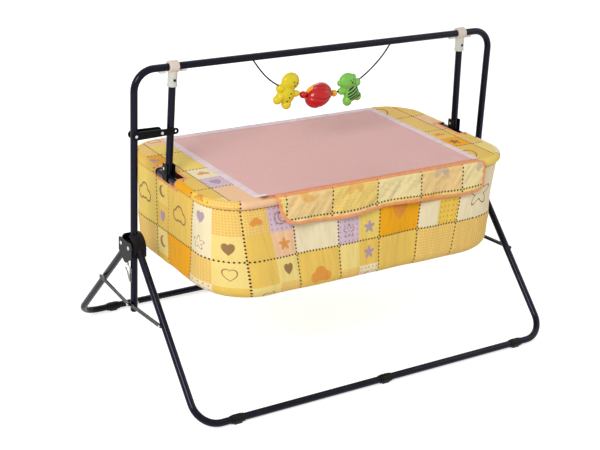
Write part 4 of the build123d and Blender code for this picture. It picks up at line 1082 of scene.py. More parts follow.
wall_levels = []
for i in range(WALL_ROWS):
    wall_levels.append((tub_high.z - (tub_high.z - tub_low.z - WALL_EDGE) * i / WALL_ROWS, 0.0))
for i in range(EDGE_ROWS + 1):
    angle = math.pi / 2 * i / EDGE_ROWS
    wall_levels.append((tub_low.z + WALL_EDGE * (1 - math.sin(angle)), WALL_EDGE * (1 - math.cos(angle))))
wall_rings = []
for z, inset in wall_levels:
    half_l, half_w, corner = wall_size(z)
    wall_rings.append(oblong(half_l - inset, half_w - inset, corner - inset))
wall_drop = [0.0]
for (z0, in0), (z1, in1) in zip(wall_levels, wall_levels[1:]):
    wall_drop.append(wall_drop[-1] + math.hypot(z1 - z0, in1 - in0))


print("wall of", len(wall_levels), "rows and", round(wall_drop[-1], 3), "m of cloth")

# %% [markdown]
# So far the wall's rows are only its outline.
# Each corner now moves outwards by what cloth does there: gathers under the rim, slow drapes, sharper ridges
# and a swell inside each patch. All of it fades at the rim and at the floor, where the cloth is sewn.

# %% Folds of the wall
def seam_swell(run, drop):
    """How far the cloth stands out between the seams of the patch grid."""
    rise = 1.0
    for value in (run, drop):
        gap = abs((value / PATCH + 0.5) % 1.0 - 0.5) * PATCH
        rise *= 1 - math.exp(-gap / SWELL_REACH)
    return rise


def wall_at(i, j):
    x, y, out_x, out_y = wall_rings[i][j]
    z, inset = wall_levels[i]
    drop = wall_drop[i]
    flow = math.exp(-drop / GATHER_FADE)
    fold = math.sin(rim_run[j] * 2 * math.pi / GATHER_WAVE + 3 * ripple(x, y, 0, 0.09, 5.0)) * flow * 0.4
    drape = DRAPE * ripple(x, y, z * 0.35, 0.085, 1.0)
    ridge = 1 - abs(ripple(x + 0.35 * z, y, z * 0.4, 0.075, 2.0)) * 3.2
    drape += 0.5 * DRAPE * max(ridge, 0.0) ** 2 * (0.5 + ripple(x, y, z, 0.16, 21.0)) - 0.3 * DRAPE
    slack = ripple(x, y, z * 1.5, 0.06, 3.0) * 0.4
    keep_flat = 1 - inset / WALL_EDGE
    out = SWELL * seam_swell(rim_run[j], drop) + GATHER * (fold + slack) + drape * min(1.0, drop / DRAPE_FROM)
    out *= keep_flat * min(1.0, drop / STITCHED_TOP)
    return (x + out_x * out, y + out_y * out, z)


basket_wall = cloth_grid("basket_wall", len(wall_levels) - 1, COLUMNS, wall_at,
                         lambda i, j: (rim_run[j], -wall_drop[i]), patchwork_cotton, closed=True)
thicken(basket_wall, WALL_THICK)
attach(basket_wall, "cradle")
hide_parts("tub_cloth")
print("basket wall", len(basket_wall.data.polygons), "faces")

# %% [markdown]
# The floor of the basket is a plain cloth that the board presses flat.
# It is a ring-shaped grid that shrinks towards the middle and is closed with one small face.

# %% Basket floor
FLOOR_RINGS = 12
FLOOR_THICK, FLOOR_RUMPLE = 1.2 * MM, 0.6 * MM
floor_ring = wall_rings[-1]


def floor_at(i, j):
    x, y, _, _ = floor_ring[j]
    share = 1 - i / FLOOR_RINGS * 0.97
    sag = FLOOR_RUMPLE * ripple(x * share, y * share, 0, 0.07, 9.0) * (1 - share)
    return (x * share, y * share, tub_low.z + max(sag, 0.0))


basket_floor = cloth_grid("basket_floor", FLOOR_RINGS, COLUMNS, floor_at,
                          lambda i, j: floor_at(i, j % COLUMNS)[:2], base_cotton, closed=True)
middle = bmesh.new()
middle.from_mesh(basket_floor.data)
middle.verts.ensure_lookup_table()
middle.faces.new(middle.verts[FLOOR_RINGS * COLUMNS:]).smooth = True
bmesh.ops.recalc_face_normals(middle, faces=middle.faces)
middle.to_mesh(basket_floor.data)
middle.free()
thicken(basket_floor, FLOOR_THICK, offset=1.0)
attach(basket_floor, "cradle")
print("basket floor", len(basket_floor.data.polygons), "faces")

# %% [markdown]
# The rim tube runs through a sleeve of the same cotton, open at each end of the basket where the hanger's
# bracket grips the tube.
# The sleeve is a tube of cloth with slanting creases, as cloth twists a little round a tube.

# %% Rim sleeves
SLEEVE_R = 11.0 * MM
SLEEVE_THICK = 0.9 * MM
SLIT_HALF = 54 * MM
SLEEVE_SIDES = 22


def half_walk(front):
    """The part of the rim's walk in front of or behind the slits, with its length from the left end."""
    chosen = [(p, run) for p, run in zip(rim_walk, rim_run)
              if (p[1] < 0) == front and abs(p[1]) > SLIT_HALF]
    ends = []
    for ((x, y, out_x, out_y), run), way in ((chosen[0], -1), (chosen[-1], 1)):
        gap = abs(y) - SLIT_HALF
        ends.append(((x, math.copysign(SLIT_HALF, y), out_x, out_y), run + way * gap))
    return [ends[0]] + chosen + [ends[1]]


CREASE_WAVE, CREASE_HIGH, RUMPLE_HIGH = 0.021, 0.55 * MM, 0.5 * MM
rim_sleeves = []
for front, name, node in ((True, "rim_sleeve_front", "rim_cloth_front"),
                          (False, "rim_sleeve_back", "rim_cloth_back")):
    walk = half_walk(front)

    def sleeve_at(i, j, walk=walk):
        (x, y, out_x, out_y), run = walk[i]
        turn = 2 * math.pi * j / SLEEVE_SIDES
        wander = 1.6 * math.sin(turn) + 4 * ripple(x, y, 0, 0.08, 7.0)
        crease = math.sin(run * 2 * math.pi / CREASE_WAVE + wander)
        radius = SLEEVE_R + CREASE_HIGH * crease * (0.5 + 0.5 * ripple(x, y, turn * 0.02, 0.06, 3.0))
        radius += RUMPLE_HIGH * ripple(x, y, turn * 0.02, 0.03, 8.0)
        reach = radius * math.cos(turn)
        return (x + out_x * reach, y + out_y * reach, RIM_Z + radius * math.sin(turn))

    def sleeve_flat(i, j, walk=walk):
        """Inside the sleeve the cloth is out of sight; outside, it goes on from the wall's top edge."""
        turn = 2 * math.pi * j / SLEEVE_SIDES
        return (walk[i][1], SLEEVE_R * (turn + math.pi / 2 if turn < 1.5 * math.pi else turn - 1.5 * math.pi))

    sleeve = cloth_grid(name, len(walk) - 1, SLEEVE_SIDES, sleeve_at, sleeve_flat, patchwork_cotton,
                        closed=True)
    thicken(sleeve, SLEEVE_THICK)
    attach(sleeve, "cradle")
    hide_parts(node)
    rim_sleeves.append(sleeve)
print("rim sleeves", [len(s.data.polygons) for s in rim_sleeves])

# %% [markdown]
# The cover lies over the rim like a drum skin and turns down over its outer side.
# A helper bends any flat place on the cover round the rim's roll: inside the rim it stays level, and
# beyond the tube's centre line it follows a circle. So panels can be drawn flat, as they were cut.

# %% Bend the cover over the rim
COVER_Z = RIM_Z + 11.5 * MM
ROLL_R = COVER_Z - RIM_Z
LIP = 3 * MM
COVER_THICK = 1.1 * MM
COVER_CREASE, COVER_RUMPLE, COVER_HOLLOW = 0.5 * MM, 0.7 * MM, -0.2 * MM
COVER_SINK, SINK_REACH = 0.8 * MM, 0.03


def rim_gap(x, y):
    """Distance beyond the rim's centre line and the outward direction there."""
    past_x, past_y = abs(x) - (RIM_L - RIM_CORNER), abs(y) - (RIM_W - RIM_CORNER)
    sign_x, sign_y = math.copysign(1, x), math.copysign(1, y)
    if past_x > 0 and past_y > 0:
        reach = math.hypot(past_x, past_y)
        return reach - RIM_CORNER, sign_x * past_x / reach, sign_y * past_y / reach
    if past_x > past_y:
        return past_x - RIM_CORNER, sign_x, 0.0
    return past_y - RIM_CORNER, 0.0, sign_y


def over_rim(x, y, lift=0.0):
    """A flat place on the cover, bent round the rim's roll."""
    gap, out_x, out_y = rim_gap(x, y)
    crease = COVER_CREASE * ripple(x, y, 0, 0.03, 4.0) + COVER_RUMPLE * ripple(x, y, 0, 0.09, 6.0)
    radius = ROLL_R + lift + max(crease, COVER_HOLLOW) * 0.7
    if gap <= 0:
        sink = COVER_SINK * (1 - math.exp(gap / SINK_REACH))
        return (x, y, RIM_Z + radius - sink * 0.5)
    turn = gap / ROLL_R
    shift = radius * math.sin(turn) - gap
    return (x + out_x * shift, y + out_y * shift, RIM_Z + radius * math.cos(turn))


print("a place 10 mm beyond the rim's centre line lies at",
      [round(v, 3) for v in over_rim(0.0, -RIM_W - 10 * MM)])

# %% [markdown]
# Left and right of the net a panel of printed cotton closes the cover, with a slit for the hanger.
# A Boolean could cut the slit, but it leaves long thin faces. Here the grid runs from the net's seam to the
# panel's outer edge, which goes into the slit and out again, so every face stays a neat quad.

# %% End panels of the cover
NET_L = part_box("net_panel")[1].x
NET_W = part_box("net_panel")[1].y
SLIT_FROM_X = RIM_L - 24 * MM
PANEL_ROWS = 30
CORNER_GAP = 1 * MM
edge_walk = [p for p in oblong(RIM_L + LIP, RIM_W + LIP, RIM_CORNER + LIP)
             if p[0] < -NET_L - CORNER_GAP and abs(p[1]) > SLIT_HALF + CORNER_GAP]
front_edge = [(-NET_L, -RIM_W - LIP)] + [(x, y) for x, y, _, _ in reversed(edge_walk) if y < 0]
back_edge = [(x, y) for x, y, _, _ in edge_walk if y > 0]
SLIT_STEPS, SLIT_END_STEPS = 12, 8
slit_depth = RIM_L + LIP - SLIT_FROM_X
slit_edge = [(-RIM_L - LIP, -SLIT_HALF)]
slit_edge += [(-RIM_L - LIP + slit_depth * i / SLIT_END_STEPS, -SLIT_HALF)
              for i in range(1, SLIT_END_STEPS + 1)]
slit_edge += [(-SLIT_FROM_X, -SLIT_HALF + 2 * SLIT_HALF * i / SLIT_STEPS) for i in range(1, SLIT_STEPS)]
slit_edge += [(x, -y) for x, y in reversed(slit_edge[:SLIT_END_STEPS + 1])]
panel_edge = front_edge + slit_edge + sorted(back_edge, key=lambda p: (round(p[1], 6), p[0]))
panel_edge += [(-NET_L, RIM_W + LIP)]
panel_run = [0.0]
for (x0, y0), (x1, y1) in zip(panel_edge, panel_edge[1:]):
    panel_run.append(panel_run[-1] + math.hypot(x1 - x0, y1 - y0))


def panel_flat(i, j):
    """A place on the left end panel as it was cut."""
    share = i / PANEL_ROWS
    inner_y = (2 * panel_run[j] / panel_run[-1] - 1) * (RIM_W + LIP)
    x, y = panel_edge[j]
    return (-NET_L + (x + NET_L) * share, inner_y + (y - inner_y) * share)


cover_panels = []
for name, side in (("cover_end_left", 1), ("cover_end_right", -1)):
    def panel_at(i, j, side=side):
        x, y = panel_flat(i, j)
        return over_rim(side * x, y)

    def panel_laid(i, j, side=side):
        x, y = panel_flat(i, j)
        return (side * x, y)

    panel = cloth_grid(name, PANEL_ROWS, len(panel_edge) - 1, panel_at, panel_laid, cover_cotton)
    if side > 0:
        panel.data.flip_normals()
    thicken(panel, COVER_THICK, offset=1.0)
    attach(panel, "cradle")
    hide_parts("cover_panel_left" if side > 0 else "cover_panel_right")
    cover_panels.append(panel)
print("end panels", [len(p.data.polygons) for p in cover_panels])

# %% [markdown]
# Behind the net a narrow band of the same cotton closes the cover, and turns down over the rim.

# %% Back band of the cover
BAND_ROWS, BAND_COLUMNS = 12, 90


def band_flat(i, j):
    return (-NET_L + 2 * NET_L * j / BAND_COLUMNS, NET_W + (RIM_W + LIP - NET_W) * i / BAND_ROWS)


back_band = cloth_grid("cover_back_strip", BAND_ROWS, BAND_COLUMNS,
                       lambda i, j: over_rim(*band_flat(i, j)), band_flat, cover_cotton)
thicken(back_band, COVER_THICK, offset=1.0)
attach(back_band, "cradle")
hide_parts("cover_back_band")
print("back strip", len(back_band.data.polygons), "faces")

# %% [markdown]
# The net is a fine dusty-pink mesh that lets the mattress glimmer through.
# Its holes are far too small to model: the material thins them as a pattern of Alpha, at the real pitch of
# about a millimetre and a half. The sheet itself sags a few millimetres between its seams.

# %% Net
NET_ROWS, NET_COLUMNS = 60, 84
NET_SAG, NET_PULL = 5 * MM, 0.6 * MM
NET_LIFT, NET_THICK = 0.4 * MM, 0.5 * MM
NET_PITCH = 0.0015


def net_finish():
    material, tree, shader, place = start_finish("pink_net", laid_flat=True)
    x, y, _ = split(tree, place)
    threads = [calc(tree, "ABSOLUTE", minus(tree, calc(tree, "FRACT", slant), 0.5))
               for slant in diagonals(tree, x, y, NET_PITCH * 1.414)]
    nearest = calc(tree, "MINIMUM", threads[0], threads[1])
    thread = soft_step(tree, nearest, 0.26, 0.18)
    soft = speckle(tree, place, 30.0)
    colour = blend_colours(tree, soft, tint(244, 180, 174), tint(250, 198, 190))
    feed(tree, shader.inputs["Base Color"], colour)
    feed(tree, shader.inputs["Alpha"], plus(tree, times(tree, thread, 0.4), 0.58))
    set_roughness(tree, shader, soft, 0.1, 0.6)
    shader.inputs["Sheen Weight"].default_value = 0.3
    raise_bump(tree, shader, thread, 0.0002)
    return material


def net_at(i, j):
    x = -NET_L + 2 * NET_L * j / NET_COLUMNS
    y = -NET_W + 2 * NET_W * i / NET_ROWS
    bowl = (1 - (x / NET_L) ** 2) * (1 - (y / NET_W) ** 2)
    pull = NET_PULL * ripple(x, y, 0, 0.07, 12.0)
    return (x, y, COVER_Z + NET_LIFT - (NET_SAG + pull) * bowl)


net_cover = cloth_grid("net_cover", NET_ROWS, NET_COLUMNS, net_at, lambda i, j: net_at(i, j)[:2],
                       net_finish())
thicken(net_cover, NET_THICK)
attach(net_cover, "cradle")
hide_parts("net_panel")
print("net", round(4 * NET_L * NET_W, 3), "square metres")

# %% [markdown]
# A binding is a strip of cloth folded over a raw edge and sewn down.
# It could be a swept curve, but a strip needs to lie flat to the cloth it binds. So the builder takes the
# edge's points with the cloth's own direction at each, and sweeps a flattened oval along them.

# %% Sweep a binding along an edge
BIND_SIDES = 12
BIND_STITCH = 0.011


def smooth_line(points, rounds=1):
    """Pull each point a little towards its neighbours; the ends stay."""
    for _ in range(rounds):
        between = [(a + 2 * b + c) / 4 for a, b, c in zip(points, points[1:], points[2:])]
        points = [points[0]] + between + [points[-1]]
    return points


def sew_binding(name, points, flats, width, thickness, material):
    """A flat strip along points; flats holds the cloth's facing direction at each."""
    runs = [0.0]
    for a, b in zip(points, points[1:]):
        runs.append(runs[-1] + (b - a).length)

    def strip_at(i, j):
        before, after = points[max(i - 1, 0)], points[min(i + 1, len(points) - 1)]
        ahead = (after - before).normalized()
        outward = (flats[i] - ahead * flats[i].dot(ahead)).normalized()
        sideways = ahead.cross(outward)
        turn = 2 * math.pi * j / BIND_SIDES
        bulge = 1 + 0.1 * math.sin(runs[i] * 2 * math.pi / BIND_STITCH)
        flat_x = math.copysign(abs(math.cos(turn)) ** 0.6, math.cos(turn)) * width / 2
        flat_z = math.copysign(abs(math.sin(turn)) ** 0.8, math.sin(turn)) * thickness / 2 * bulge
        return points[i] + sideways * flat_x + outward * flat_z

    strip = cloth_grid(name, len(points) - 1, BIND_SIDES, strip_at,
                       lambda i, j: (runs[i], width * j / BIND_SIDES), material, closed=True)
    shell = bmesh.new()
    shell.from_mesh(strip.data)
    shell.verts.ensure_lookup_table()
    shell.faces.new(reversed(shell.verts[:BIND_SIDES]))
    shell.faces.new(shell.verts[-BIND_SIDES:])
    bmesh.ops.recalc_face_normals(shell, faces=shell.faces)
    shell.to_mesh(strip.data)
    shell.free()
    smooth_shade(strip.data)
    return strip


def resample(points, step):
    """The same line in even steps."""
    made, left = [points[0]], step
    for a, b in zip(points, points[1:]):
        gap = (b - a).length
        while left <= gap:
            made.append(a + (b - a) * (left / gap))
            left += step
        left -= gap
    return made + [points[-1]]


print("a metre in steps of 0.3 m has", len(resample([Vector((0, 0, 0)), Vector((1, 0, 0))], 0.3)), "points")

# %% [markdown]
# The net is edged with a lilac strip on its sides and back.

# %% Lilac edge of the net
EDGE_STRIP, EDGE_STRIP_THICK = 22 * MM, 1.8 * MM
EDGE_STRIP_STEP, EDGE_STRIP_LIFT = 8 * MM, 0.7 * MM
net_corners = [Vector((-NET_L, -NET_W, 0)), Vector((-NET_L, NET_W, 0)), Vector((NET_L, NET_W, 0)),
               Vector((NET_L, -NET_W, 0))]
edge_line = resample(net_corners, EDGE_STRIP_STEP)
edge_line = [Vector((p.x, p.y, over_rim(p.x, p.y)[2] + EDGE_STRIP_LIFT)) for p in edge_line]
net_edge = sew_binding("net_edge_strip", edge_line, [Vector((0, 0, 1))] * len(edge_line), EDGE_STRIP,
                       EDGE_STRIP_THICK, lilac_binding)
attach(net_edge, "cradle")
print("net edge", len(edge_line), "steps")

# %% [markdown]
# The flap hangs in front of the zip and hides it.
# It is a strip of pale yellow cotton that starts level behind the rim's roll, bends over it and hangs down
# in seven shallow folds, with slanting creases where it is sewn to the binding. Its left end slants, and
# its corners are round with a radius each.

# %% Flap
flap_low, flap_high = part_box("front_flap")
FLAP_ROWS, FLAP_COLUMNS, FLAP_BEND = 40, 200, 12
FLAP_LEFT, FLAP_RIGHT = flap_low.x - 18 * MM, flap_high.x - 15 * MM
LEFT_SLANT = 18 * MM
LEFT_CORNER, RIGHT_CORNER, TOP_CORNER = 38 * MM, 14 * MM, 16 * MM
FLAP_FOLDS = 7
FLAP_BOW, FLAP_STAND_OFF, FLAP_THICK = 4 * MM, 3 * MM, 1.0 * MM
FLAP_CREASE, FLAP_CREASE_WAVE, FLAP_SMALL_CREASE = 2.6 * MM, 0.034, 1.5 * MM
HEM_SWING, HEM_DROP, HEM_WAVE, HEM_PEAK_X = 4.5, 2.5, 0.36, 0.075
EDGE_UNREST = 0.5 * MM
SEAM_SHIFT = 0.070
flap_start = Vector((-RIM_W - 6 * MM, COVER_Z + 0.8 * MM))
flap_turn = Vector((-RIM_W - 16.7 * MM, RIM_Z + 5 * MM))
flap_profile = []
for i in range(FLAP_BEND + 1):
    angle = math.pi / 2 * i / FLAP_BEND
    flap_profile.append((flap_start.x + (flap_turn.x - flap_start.x) * math.sin(angle),
                         flap_turn.y + (flap_start.y - flap_turn.y) * math.cos(angle)))
hang_rows = FLAP_ROWS - FLAP_BEND
for i in range(1, hang_rows + 1):
    share = i / hang_rows
    flap_profile.append((flap_turn.x - FLAP_STAND_OFF * share,
                         flap_turn.y + (flap_low.z - flap_turn.y) * share))
flap_drop = [0.0]
for (y0, z0), (y1, z1) in zip(flap_profile, flap_profile[1:]):
    flap_drop.append(flap_drop[-1] + math.hypot(y1 - y0, z1 - z0))
FLAP_LENGTH = flap_drop[-1]
FLAP_WIDTH = FLAP_RIGHT - FLAP_LEFT


print("flap hangs on", round(FLAP_LENGTH, 4), "m of profile")

# %% [markdown]
# The profile is what one would see from the flap's end. Now it gets its width and its folds.
# A row's ends move in where a corner is round. Its points move out by the folds and the creases, which are
# strongest just under the bend where the seam gathers the cloth, and the hem swings up and down a little.

# %% Folds of the flap
def drawn_in(from_end, radius):
    """How far a round corner draws the edge in, at this distance from the strip's end."""
    short = max(0.0, radius - from_end)
    return radius - math.sqrt(max(radius ** 2 - short ** 2, 0.0))


def flap_span(i):
    """Where the flap's cloth begins and ends across one row."""
    drop = flap_drop[i]
    left = FLAP_LEFT + LEFT_SLANT * drop / FLAP_LENGTH + drawn_in(FLAP_LENGTH - drop, LEFT_CORNER)
    return left, FLAP_RIGHT - drawn_in(FLAP_LENGTH - drop, RIGHT_CORNER) - drawn_in(drop, TOP_CORNER)


def flap_flat(i, j):
    left, right = flap_span(i)
    return (left + (right - left) * j / FLAP_COLUMNS, -flap_drop[i] - SEAM_SHIFT)


def flap_at(i, j):
    x, drop = flap_flat(i, j)[0], -flap_drop[i]
    y, z = flap_profile[i]
    hang = max(0.0, (flap_turn.y - z) / (flap_turn.y - flap_low.z))
    level = min(1.0, i / FLAP_BEND)
    fold = math.sin(math.pi * FLAP_FOLDS * (x - FLAP_LEFT) / FLAP_WIDTH)
    bow = FLAP_BOW * (0.08 + 0.92 * hang) * fold * level
    wander = 5 * ripple(x, drop, 0, 0.1, 15.0)
    slant = math.sin((x * 0.8 + drop * 1.5) * 2 * math.pi / FLAP_CREASE_WAVE + wander)
    crease = FLAP_CREASE * slant * math.exp(-abs(hang - 0.2) / 0.3) * (0.45 + ripple(x, drop, 0, 0.05, 16.0))
    small = FLAP_SMALL_CREASE * ripple(x, drop * 1.4, 0, 0.022, 17.0)
    edge_wave = (HEM_SWING * math.cos((x - HEM_PEAK_X) * 2 * math.pi / HEM_WAVE) - HEM_DROP) * MM * hang
    unrest = EDGE_UNREST * ripple(x, drop, 0, 0.04, 18.0) if i < FLAP_BEND else edge_wave
    return (x, y - bow - (crease + small) * level, z + unrest)


flap_cloth = cloth_grid("flap_cloth", FLAP_ROWS, FLAP_COLUMNS, flap_at, flap_flat, flap_cotton)
thicken(flap_cloth, FLAP_THICK, offset=0.0)
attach(flap_cloth, "cradle")
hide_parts("front_flap")
print("flap", round(FLAP_WIDTH, 3), "by", round(FLAP_LENGTH, 3), "m")

# %% [markdown]
# An orange binding runs all round the flap.
# Its line is read from the flap's own edge, so it follows every fold.

# %% Flap binding
BINDING_WIDTH, BINDING_THICK = 9.5 * MM, 2.6 * MM
FLAP_BIND_STEP, TOP_BIND_STEP = 4 * MM, 6 * MM
left_edge = [Vector(flap_at(i, 0)) for i in range(FLAP_ROWS + 1)]
low_edge = [Vector(flap_at(FLAP_ROWS, j)) for j in range(FLAP_COLUMNS + 1)]
right_edge = [Vector(flap_at(i, FLAP_COLUMNS)) for i in range(FLAP_ROWS, -1, -1)]
hang_edge = smooth_line(resample(left_edge + low_edge[1:] + right_edge[1:], FLAP_BIND_STEP), 2)
face_out = []
for p in hang_edge:
    lean = min(1.0, max(0.0, (p.z - flap_turn.y) / (flap_start.y - flap_turn.y)))
    face_out.append(Vector((0, lean - 1.0, lean)).normalized())
flap_binding = sew_binding("flap_binding", hang_edge, face_out, BINDING_WIDTH, BINDING_THICK,
                           binding_cotton)
TOP_SET_FORWARD, TOP_LIFT, TOP_OVERHANG = 1.8 * MM, 1.7 * MM, 4 * MM
top_ends = [Vector((FLAP_LEFT - TOP_OVERHANG, 0, 0)), Vector((FLAP_RIGHT - TOP_CORNER, 0, 0))]
top_edge = []
for p in resample(top_ends, TOP_BIND_STEP):
    unrest = EDGE_UNREST * ripple(p.x, 0, 0, 0.04, 19.0)
    top_edge.append(Vector((p.x, flap_start.x - TOP_SET_FORWARD, flap_start.y + TOP_LIFT + unrest)))
top_binding = sew_binding("flap_top_binding", top_edge, [Vector((0, -0.35, 1)).normalized()] * len(top_edge),
                          BINDING_WIDTH, BINDING_THICK, binding_cotton)
for strip in (flap_binding, top_binding):
    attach(strip, "cradle")
print("flap binding", len(hang_edge), "steps")

# %% [markdown]
# The zip lies along the net's front edge: a tape, and on it two rows of coil that mesh like a zigzag.
# Each tooth is a short bar laid across, and a few hundred of them still make a light mesh.

# %% Zip
tape_low, tape_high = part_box("zip_tape")
ZIP_Y = (tape_low.y + tape_high.y) / 2
TOOTH_PITCH = 2.6 * MM
TOOTH_SIZE = (TOOTH_PITCH * 0.62, 3.2 * MM, 1.3 * MM)
TOOTH_SHIFT, TOOTH_RISE, TOOTH_BEVEL = 0.9 * MM, 0.75 * MM, 0.25 * MM
TAPE_TOP, TAPE_THICK = COVER_Z + 1.2 * MM, 1.1 * MM
TAPE_RUMPLE, TAPE_END = 0.25 * MM, 6 * MM
TAPE_COLUMNS, TAPE_ROWS = 140, 8


def tape_at(i, j):
    x = tape_low.x + (tape_high.x - tape_low.x) * j / TAPE_COLUMNS
    y = tape_low.y + (tape_high.y - tape_low.y) * i / TAPE_ROWS
    return (x, y, TAPE_TOP + TAPE_RUMPLE * ripple(x, y, 0, 0.03, 20.0))


zip_strip = cloth_grid("zip_tape_cloth", TAPE_ROWS, TAPE_COLUMNS, tape_at, lambda i, j: tape_at(i, j)[:2],
                       binding_cotton)
thicken(zip_strip, TAPE_THICK)
teeth = bmesh.new()
count = int((tape_high.x - tape_low.x - 2 * TAPE_END) / TOOTH_PITCH)
for k in range(count):
    x = tape_low.x + TAPE_END + (k + 0.5) * TOOTH_PITCH
    side = 1 if k % 2 else -1
    bar = bmesh.ops.create_cube(teeth, size=1.0)["verts"]
    bmesh.ops.scale(teeth, vec=TOOTH_SIZE, verts=bar)
    bmesh.ops.translate(teeth, vec=(x, ZIP_Y + side * TOOTH_SHIFT, TAPE_TOP + TOOTH_RISE), verts=bar)
bmesh.ops.bevel(teeth, geom=teeth.edges[:], offset=TOOTH_BEVEL, segments=1, affect="EDGES")
nylon_coil = moulded("orange_nylon_coil", tint(214, 126, 84), tint(176, 92, 58), 0.4, 0.00002, 0.03,
                     tint(232, 160, 124), gloss=0.3)
zip_teeth = link_mesh("zip_teeth", made_mesh("zip_teeth", teeth), nylon_coil)
for piece in (zip_strip, zip_teeth):
    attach(piece, "cradle")
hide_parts("zip_tape")
print("zip with", count, "teeth")

# %% [markdown]
# The slits at the basket's ends are bound in orange too. A ring closes each end of the rim's sleeves, and a
# strip covers the wall's top edge, which lies bare below the tube there.

# %% Slit bindings
WALL_BINDING, WALL_BINDING_THICK, WALL_BINDING_OUT = 9 * MM, 3 * MM, 1 * MM
WALL_BINDING_Z = tub_high.z - 4.2 * MM
WALL_BINDING_STEP, RAY_START = 6 * MM, 90 * MM
SLIT_BINDING, SLIT_BINDING_THICK, SLIT_BINDING_LIFT = 7 * MM, 2.4 * MM, 0.5 * MM
RING_STEPS, RING_R, RING_THICK, RING_BACK = 24, SLEEVE_R + 0.4 * MM, 1.8 * MM, 3 * MM
slit_pieces = []
for side, word in ((-1, "left"), (1, "right")):
    ends = [Vector((side * (RIM_L + RAY_START), way * SLIT_HALF, WALL_BINDING_Z)) for way in (-1, 1)]
    across = [basket_wall.ray_cast(p, Vector((-side, 0, 0)))[1] + Vector((side * WALL_BINDING_OUT, 0, 0))
              for p in resample(ends, WALL_BINDING_STEP)]
    sideways = [Vector((side, 0, 0))] * len(across)
    slit_pieces.append(sew_binding(f"wall_binding_{word}", smooth_line(across, 2), sideways, WALL_BINDING,
                                   WALL_BINDING_THICK, binding_cotton))
    line = [Vector(over_rim(-side * x, y, SLIT_BINDING_LIFT)) for x, y in slit_edge]
    facing = []
    for x, y in slit_edge:
        gap, out_x, out_y = rim_gap(-side * x, y)
        turn = max(gap, 0.0) / ROLL_R
        facing.append(Vector((out_x * math.sin(turn), out_y * math.sin(turn), math.cos(turn))))
    slit_pieces.append(sew_binding(f"slit_binding_{word}", smooth_line(line), facing, SLIT_BINDING,
                                   SLIT_BINDING_THICK, binding_cotton))
    for way, place in ((-1, "front"), (1, "back")):
        ring = []
        for i in range(RING_STEPS + 1):
            turn = 2 * math.pi * i / RING_STEPS
            ring.append(Vector((side * (RIM_L + RING_R * math.cos(turn)), way * (SLIT_HALF + RING_BACK),
                                RIM_Z + RING_R * math.sin(turn))))
        centre = Vector((side * RIM_L, way * (SLIT_HALF + RING_BACK), RIM_Z))
        outward = [(p - centre).normalized() for p in ring]
        slit_pieces.append(sew_binding(f"sleeve_end_{word}_{place}", ring, outward, SLIT_BINDING, RING_THICK,
                                       binding_cotton))
for piece in slit_pieces:
    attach(piece, "cradle")
print("slit bindings", len(slit_pieces))

# %% [markdown]
# The mattress is foam in a cotton cover: a crowned pad whose sides draw in between its corners.
# A beveled box would have the same width at every height. Rings of the oblong, each drawn in by its own
# amount, give the rounded edges and the seam round the middle.

# %% Form of the mattress
bed_low, bed_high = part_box("mattress")
PAD_INSET = 5 * MM
PAD_VOXEL = 6 * MM
PAD_PUFF = 6 * MM
PAD_FRAMES = 20
PAD_CROWN, PAD_DROP = 7 * MM, 3 * MM
PAD_CORNER_CUT, PAD_HEADROOM, PAD_END = 24 * MM, 8 * MM, 1 * MM
QUILT_PITCH = 0.05


def pad_form():
    """The pad before it is blown up: rings of the oblong, drawn in at the middle of its height."""
    bed_corner = WALL_CORNER_LOW - PAD_CORNER_CUT
    levels = [(0.0, 14.0), (0.03, 7.0), (0.12, 1.5), (0.3, 0.0), (0.5, 1.6), (0.7, 0.0), (0.88, 1.5),
              (0.97, 7.0), (1.0, 14.0)]
    height = bed_high.z - bed_low.z - PAD_HEADROOM
    rings = []
    for share, inset in levels:
        inset = inset * MM + PAD_INSET
        ring = oblong(bed_high.x - inset, bed_high.y - inset, bed_corner - inset)
        z = bed_low.z + PAD_END + share * (height - 2 * PAD_END)
        rings.append([(x, y, z) for x, y, _, _ in ring])
    body = bmesh.new()
    rows = [[body.verts.new(p) for p in ring] for ring in rings]
    for lower, upper in zip(rows, rows[1:]):
        for j in range(COLUMNS):
            body.faces.new((lower[j], lower[(j + 1) % COLUMNS], upper[(j + 1) % COLUMNS], upper[j]))
    body.faces.new(reversed(rows[0]))
    body.faces.new(rows[-1])
    bmesh.ops.recalc_face_normals(body, faces=body.faces)
    return made_mesh("mattress_pad", body)


print("bed", [round(high - low, 3) for low, high in zip(bed_low, bed_high)], "m")

# %% [markdown]
# The mattress's cover is pale cotton, quilted in small diamonds.
# The basket hides most of it and the net veils the rest, so the quilted diamonds are a bump with painted
# shade in their valleys, and no shape.

# %% Mattress cotton
def pad_cotton():
    """Soft pale cotton over foam: small quilted diamonds with painted shade in their valleys, and a fine
    weave.
    """
    material, tree, shader, place = start_finish("mattress_cotton")
    x, y, _ = split(tree, place)
    ridges = [calc(tree, "ABSOLUTE", calc(tree, "SINE", times(tree, slant, math.pi)))
              for slant in diagonals(tree, x, y, QUILT_PITCH)]
    quilt_bump_and_shade = soft_step(tree, calc(tree, "MINIMUM", ridges[0], ridges[1]), 0.0, 0.35)
    threads = place_group(tree, plain_weave, Place=place, Pitch=0.001)
    soft = speckle(tree, place, 24.0, 4.0)
    colour = blend_colours(tree, soft, tint(238, 214, 178), tint(246, 226, 196))
    # Painted shade: the quilt's valleys take the darker colour.
    feed(tree, shader.inputs["Base Color"], blend_colours(tree, quilt_bump_and_shade, tint(222, 192, 150), colour))
    set_roughness(tree, shader, soft, 0.1, 0.75)
    shader.inputs["Sheen Weight"].default_value = 0.15
    height = plus(tree, times(tree, quilt_bump_and_shade, 0.0025), times(tree, threads["Height"], 0.0001))
    raise_bump(tree, shader, height, 1.0)
    return material


print("diamonds of", QUILT_PITCH, "m")

